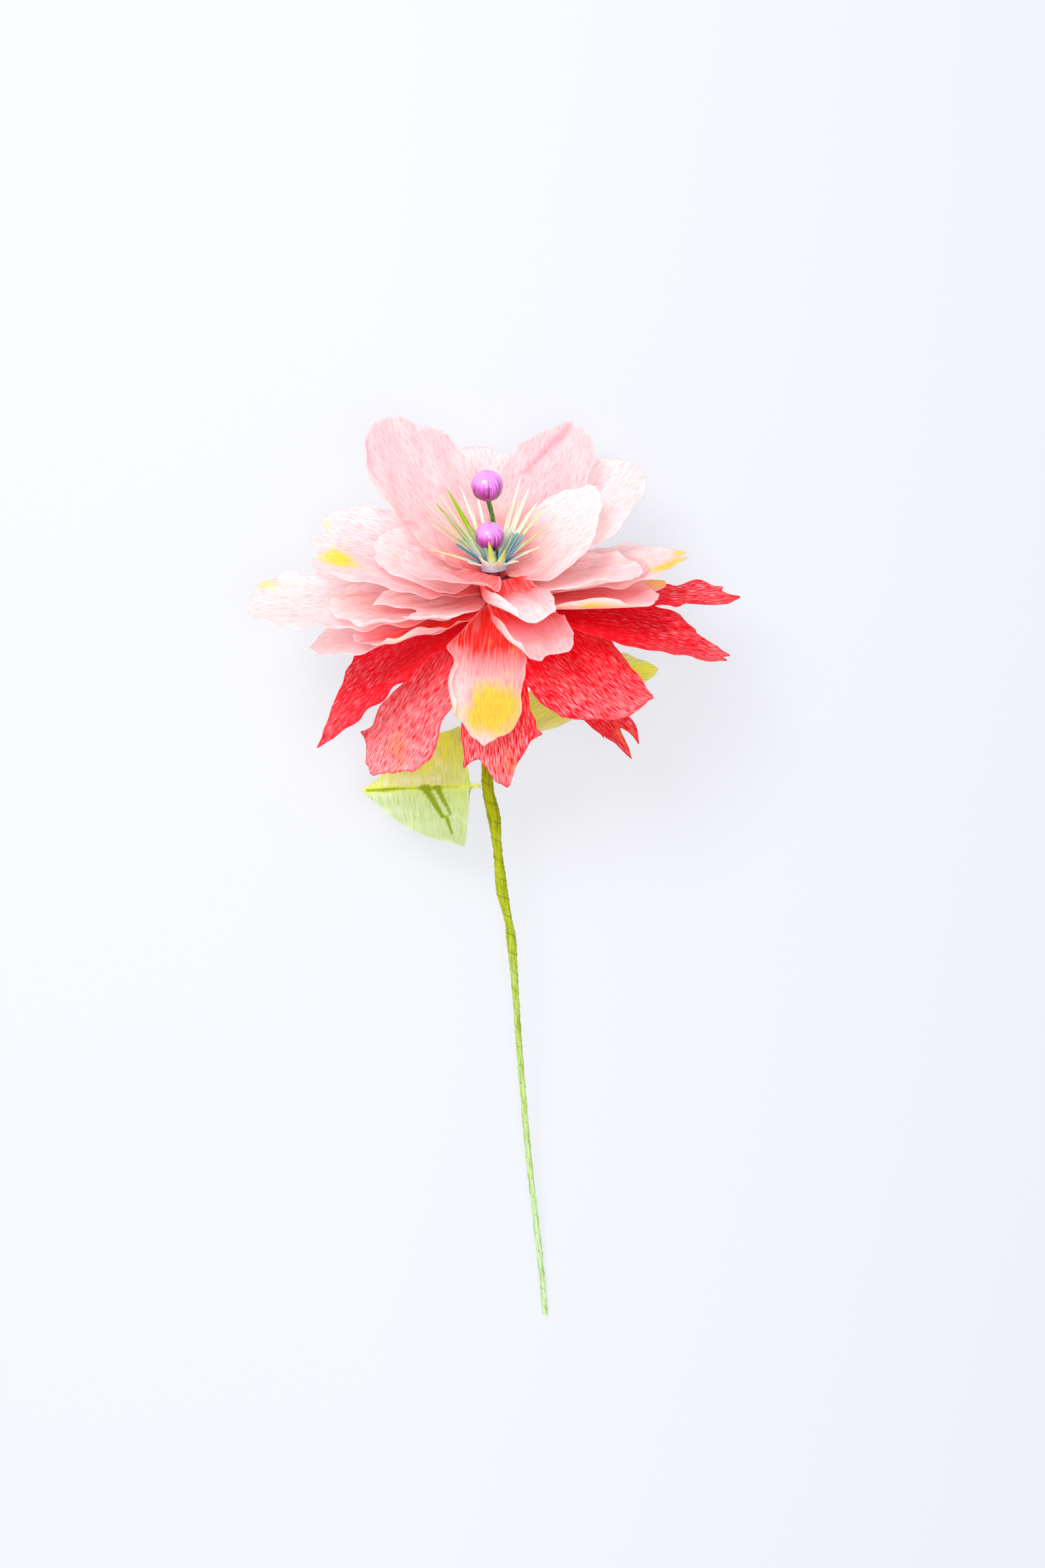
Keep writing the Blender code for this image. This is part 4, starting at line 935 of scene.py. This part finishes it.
filamentPaper = stripPaper("dyed white paper strip", {
    "foot": "#FFFFFF", "middle": "#FFFFF6", "tip": "#FFFEEA", "green": "#B6DA2C", "roughness": 0.7,
    "relief": 0.1})
bluePaper = stripPaper("waxed blue paper strip", {
    "foot": "#4C87AC", "middle": "#6BA4C6", "tip": "#9CC6DA", "green": "#6CC060", "roughness": 0.45,
    "relief": 0.15})
# the grey-blue at the foot of the collar's teeth is painted shade deep in the cup
collarPaper = stripPaper("cream paper collar", {
    "foot": "#BCC6D8", "middle": "#F2F8FF", "tip": "#FBFFDC", "green": "#D6E636", "roughness": 0.7,
    "relief": 0.1})


def addFringe(values, tree, paper, seed):
    rng = np.random.default_rng(seed)
    points = bpy.data.meshes.new(values["node"] + "_teeth")
    sway = fringeBand["sway"]
    teeth = [(*tooth, rng.uniform(-sway, sway)) for tooth in values["teeth"]]
    for azimuth, length, rise, _, _ in values["teeth"]:
        for _ in range(values["between"]):
            # thinner ones beside it, on its far side
            drawn = {label: rng.uniform(*span) for label, span in thinTeeth.items()}
            teeth.append((
                azimuth + math.copysign(drawn["azimuth"], azimuth), length * drawn["length"],
                rise + drawn["rise"], drawn["width"], drawn["green"] ** 1.5, drawn["sway"]))
    points.from_pydata([(0, 0, 0)] * len(teeth), [], [])
    writeNumbers(points, {
        "azimuth": [math.radians(tooth[0] - 90) for tooth in teeth],
        "reach": [tooth[1] for tooth in teeth],
        "tip": [math.radians(tooth[2]) for tooth in teeth],
        "width": [tooth[3] for tooth in teeth],
        "green": [tooth[4] for tooth in teeth],
        "sway": [tooth[5] * tooth[1] for tooth in teeth],
    })
    curve = tree.nodes["tooth shape"].mapping.curves[0]
    for point, place in zip(curve.points, values["shape"]):
        point.location = place
    tree.nodes["tooth shape"].mapping.update()
    made = runTree(tree, points, values["node"] + "_cut", {
        "Radius": values["radius"], "Foot": fringeBand["foot"], "Band": fringeBand["height"],
        "Bend": values["bend"], "Gutter": values["gutter"]}, paper, headMatrix)
    thicken(made, values["paper"])
    finish(made, values["node"])


cutTree = fringeTree()
shapeCurve = cutTree.nodes["tooth shape"].mapping.curves[0]
while len(shapeCurve.points) < len(fringes["filaments"]["shape"]):
    shapeCurve.points.new(0.5, 0.5)
addFringe(fringes["filaments"], cutTree, filamentPaper, 1)
addFringe(fringes["blue"], cutTree, bluePaper, 2)
addFringe(fringes["collar"], cutTree, collarPaper, 3)
print("fringes cut")

# The balls: a bead with a glossy purple coat that is gathered into seams on its lower half
balls = {
    "upper": {"radius": 6.05, "place": (0.0, 0.0, 36.6), "seams": (-40, 20, 95, 150, 215, 275)},
    "lower": {"radius": 5.5, "place": (-0.7, -0.4, 16.5), "seams": (-70, 5, 70, 140, 200)},
}
ballLook = {
    "light": "#E08EE8", "body": "#BE4CB4", "dark": "#98207C", "seam": "#4A0632", "streakScale": 1.6,
    "creases": (2.6, 3.4, 1.0), "creaseShare": 0.55, "bump": 0.7, "relief": 0.5, "roughness": 0.22,
    "coat": 0.8, "coatRoughness": 0.06,
}
# how the coat lies, as shares of the radius: bulges are a height, a count round it and their lean
coatForm = {
    "segments": 96, "rings": 64, "fit": 0.99, "seamWidth": 3.2, "seamDepth": 0.06, "seamLean": 8,
    "bulges": ((0.022, 3, 2), (0.012, 5, -4)),
}


def glossCoat(name, look):
    made, tree = newMaterial(name)
    seam, height, around = [addNode(tree, "Attribute", {"attribute_name": label}, output="Fac")
                            for label in ("seam", "height", "around")]
    # the coat ran down in streaks
    place = addNode(tree, "CombineXYZ", {}, {0: around, 1: height})
    noise = addNode(tree, "TexNoise", {"noise_dimensions": "2D"}, {
        "Vector": place, "Scale": look["streakScale"], "Detail": 3.0})
    # it dried in fine creases, which break up the highlights
    drawn = addNode(tree, "VectorMath", {"operation": "MULTIPLY"}, {0: place, 1: look["creases"]})
    creases = addNode(tree, "TexNoise", {"noise_dimensions": "2D"}, {
        "Vector": drawn, "Scale": look["streakScale"], "Detail": 2.0})
    # the coat is paler where it faces out of the flower and darker towards the stalk, painted light and
    # shade, with the streaks in it
    tone = addNode(tree, "Math", {"operation": "MULTIPLY_ADD"}, {0: noise, 1: 0.9, 2: height})
    tone = addNode(tree, "Math", {"operation": "MULTIPLY"}, {0: tone, 1: 0.8})
    colour = addNode(tree, "ValToRGB", {"stops": (
        (0.55, look["dark"]), (0.8, look["body"]), (1.0, look["light"]))}, {0: tone})
    # the seams are darkened as painted shade in their grooves
    deep = addNode(tree, "MapRange", {}, {0: seam, 1: 0.2, 2: 0.8})
    colour = addNode(tree, "Mix", {"data_type": "RGBA"},
                     {0: deep, 6: colour, 7: linearColour(look["seam"])}, 2)
    rise = addNode(tree, "Math", {"operation": "MULTIPLY_ADD"},
                   {0: creases, 1: look["creaseShare"], 2: noise})
    bump = addNode(tree, "Bump", {}, {
        "Strength": look["bump"], "Distance": look["relief"] * mm, "Height": rise})
    coat = addNode(tree, "BsdfPrincipled", {}, {
        "Base Color": colour, "Roughness": look["roughness"], "Coat Weight": look["coat"],
        "Coat Roughness": look["coatRoughness"], "Normal": bump})
    addNode(tree, "OutputMaterial", {}, {"Surface": coat})
    return made


purpleCoat = glossCoat("glossy purple coat", ballLook)


def addBall(which):
    values = balls[which]
    ball = bmesh.new()
    bmesh.ops.create_uvsphere(ball, u_segments=coatForm["segments"], v_segments=coatForm["rings"],
                              radius=1.0)
    seams, heights, around = [], [], []
    for vertex in ball.verts:
        direction = vertex.co.normalized()
        azimuth = math.degrees(math.atan2(direction.y, direction.x))
        level = direction.z
        fade = float(smoothStep((0.85 - level) / 0.9)) * float(smoothStep((level + 1.0) / 0.12))
        lean = coatForm["seamLean"] * level
        gap = min(abs((azimuth - s - lean + 180) % 360 - 180) for s in values["seams"])
        wide = coatForm["seamWidth"] / max(math.sqrt(1 - min(level * level, 0.98)), 0.25)
        groove = math.exp(-(gap / wide) ** 2) * fade
        bulge = sum(amount * math.sin(count * math.radians(azimuth) + lean * level)
                    for amount, count, lean in coatForm["bulges"])
        vertex.co = direction * values["radius"] * (
            coatForm["fit"] - coatForm["seamDepth"] * groove + bulge * (1 - abs(level)))
        seams.append(groove)
        heights.append((level + 1) / 2)
        around.append(4 * math.sin(math.radians(azimuth)) + 3 * math.cos(math.radians(azimuth)))
    mesh = bpy.data.meshes.new("ball_" + which + "_coat")
    ball.to_mesh(mesh)
    ball.free()
    writeNumbers(mesh, {"seam": seams, "height": heights, "around": around})
    mesh.transform(headMatrix @ Matrix.Translation(Vector(values["place"]) * mm) @ Matrix.Scale(mm, 4))
    mesh.materials.append(purpleCoat)
    mesh.shade_smooth()
    finish(addObject("ball_" + which + "_coat", mesh), "ball_" + which)


for which in balls:
    addBall(which)
print("balls made")


def plainFinish(name, look):
    # a matt or satin finish with a fine uneven grain, for the small solids that keep their shape
    made, tree = newMaterial(name)
    place = addNode(tree, "TexCoord", output="Object")
    noise = addNode(tree, "TexNoise", {}, {"Vector": place, "Scale": look["scale"], "Detail": 3.0})
    colour = addNode(tree, "ValToRGB", {"stops": ((0.35, look["dark"]), (0.65, look["light"]))},
                     {0: noise})
    bump = addNode(tree, "Bump", {}, {
        "Strength": 0.5, "Distance": look["relief"] * mm, "Height": noise})
    surface = addNode(tree, "BsdfPrincipled", {}, {
        "Base Color": colour, "Roughness": look["roughness"], "Metallic": look["metallic"],
        "Normal": bump})
    addNode(tree, "OutputMaterial", {}, {"Surface": surface})
    return made


# waxed dark green paper round the stalks' wire, drawn steel, and the crepe that binds the head, its
# red darkened as painted shade in the throat under the collar
stalkPaper = plainFinish("waxed dark green paper", {
    "dark": "#2E5410", "light": "#64A024", "scale": 700.0, "relief": 0.15, "roughness": 0.5,
    "metallic": 0.0})
drawnSteel = plainFinish("drawn steel", {
    "dark": "#8C8C88", "light": "#B8B8B4", "scale": 900.0, "relief": 0.03, "roughness": 0.35,
    "metallic": 1.0})
# the binding's crepe red is darkened as painted shade in the throat under the collar
shadedBindingCrepe = plainFinish("crepe binding at the foot of the petals", {
    "dark": "#4A0E18", "light": "#A4323A", "scale": 500.0, "relief": 0.3, "roughness": 0.8,
    "metallic": 0.0})
for node, paper in (("stalk_upper", stalkPaper), ("stalk_lower", stalkPaper), ("stem_wire", drawnSteel),
                    ("binding", shadedBindingCrepe)):
    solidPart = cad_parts[node]
    solidPart.data.materials.clear()
    solidPart.data.materials.append(paper)
print("small parts finished")

# floor, light and camera
studio = {
    "floorSize": 6.0, "floorLeft": "#EDEFF4", "floorRight": "#E6E9F0", "turnsAt": (-0.05, 0.22),
    "shown": 0.8, "world": "#FFFFFF", "worldStrength": 0.68,
    "key": {"size": 0.7, "power": 19, "place": (-0.45, 0.75, 1.4)},
    "fill": {"size": 0.6, "power": 10, "place": (0.15, -0.1, 1.7)},
    "lens": 85, "clipEnd": 20, "cameraFromHead": (10.25, -78.0, 1388.0),
}

floorMesh = bpy.data.meshes.new("floor")
reach = studio["floorSize"] / 2
floorMesh.from_pydata([(-reach, -reach, 0), (reach, -reach, 0), (reach, reach, 0), (-reach, reach, 0)],
                      [], [(0, 1, 2, 3)])
floor = addObject("floor", floorMesh)
floorStuff, tree = newMaterial("white studio paper")
place = addNode(tree, "TexCoord", output="Object")
aside, _, _ = addNode(tree, "SeparateXYZ", {}, {0: place}).node.outputs
share = addNode(tree, "MapRange", {},
                {0: aside, 1: studio["turnsAt"][0], 2: studio["turnsAt"][1]})
colour = addNode(tree, "Mix", {"data_type": "RGBA"}, {
    0: share, 6: linearColour(studio["floorLeft"]), 7: linearColour(studio["floorRight"])}, 2)
shine = addNode(tree, "Emission", {}, {"Color": colour, "Strength": 1.0})
matt = addNode(tree, "BsdfDiffuse", {}, {"Color": colour})
rays = addNode(tree, "LightPath").node.outputs
seen = rays["Is Camera Ray"]
for ray in ("Is Glossy Ray", "Is Transmission Ray"):
    seen = addNode(tree, "Math", {"operation": "MAXIMUM"}, {0: seen, 1: rays[ray]})
seen = addNode(tree, "Math", {"operation": "MULTIPLY"}, {0: seen, 1: studio["shown"]})
both = addNode(tree, "MixShader", {}, {0: seen, 1: matt, 2: shine})
addNode(tree, "OutputMaterial", {}, {"Surface": both})
floorMesh.materials.append(floorStuff)

world = bpy.data.worlds.new("studio")
world.use_nodes = True
bpy.context.scene.world = world
background = world.node_tree.nodes["Background"]
background.inputs["Color"].default_value = linearColour(studio["world"])
background.inputs["Strength"].default_value = studio["worldStrength"]

target = Vector(head["place"]) * mm
for name in ("key", "fill"):
    values = studio[name]
    lamp = bpy.data.lights.new(name, "AREA")
    lamp.size = values["size"]
    lamp.energy = values["power"]
    light = addObject(name, lamp)
    light.location = values["place"]
    light.rotation_euler = (target - light.location).to_track_quat("-Z", "Y").to_euler()

cameraData = bpy.data.cameras.new("camera")
cameraData.lens = studio["lens"]
cameraData.clip_end = studio["clipEnd"]
camera = addObject("camera", cameraData)
camera.location = (Vector(head["place"]) + Vector(studio["cameraFromHead"])) * mm
bpy.context.scene.camera = camera
bpy.context.scene.view_settings.view_transform = "Standard"
print("studio set")
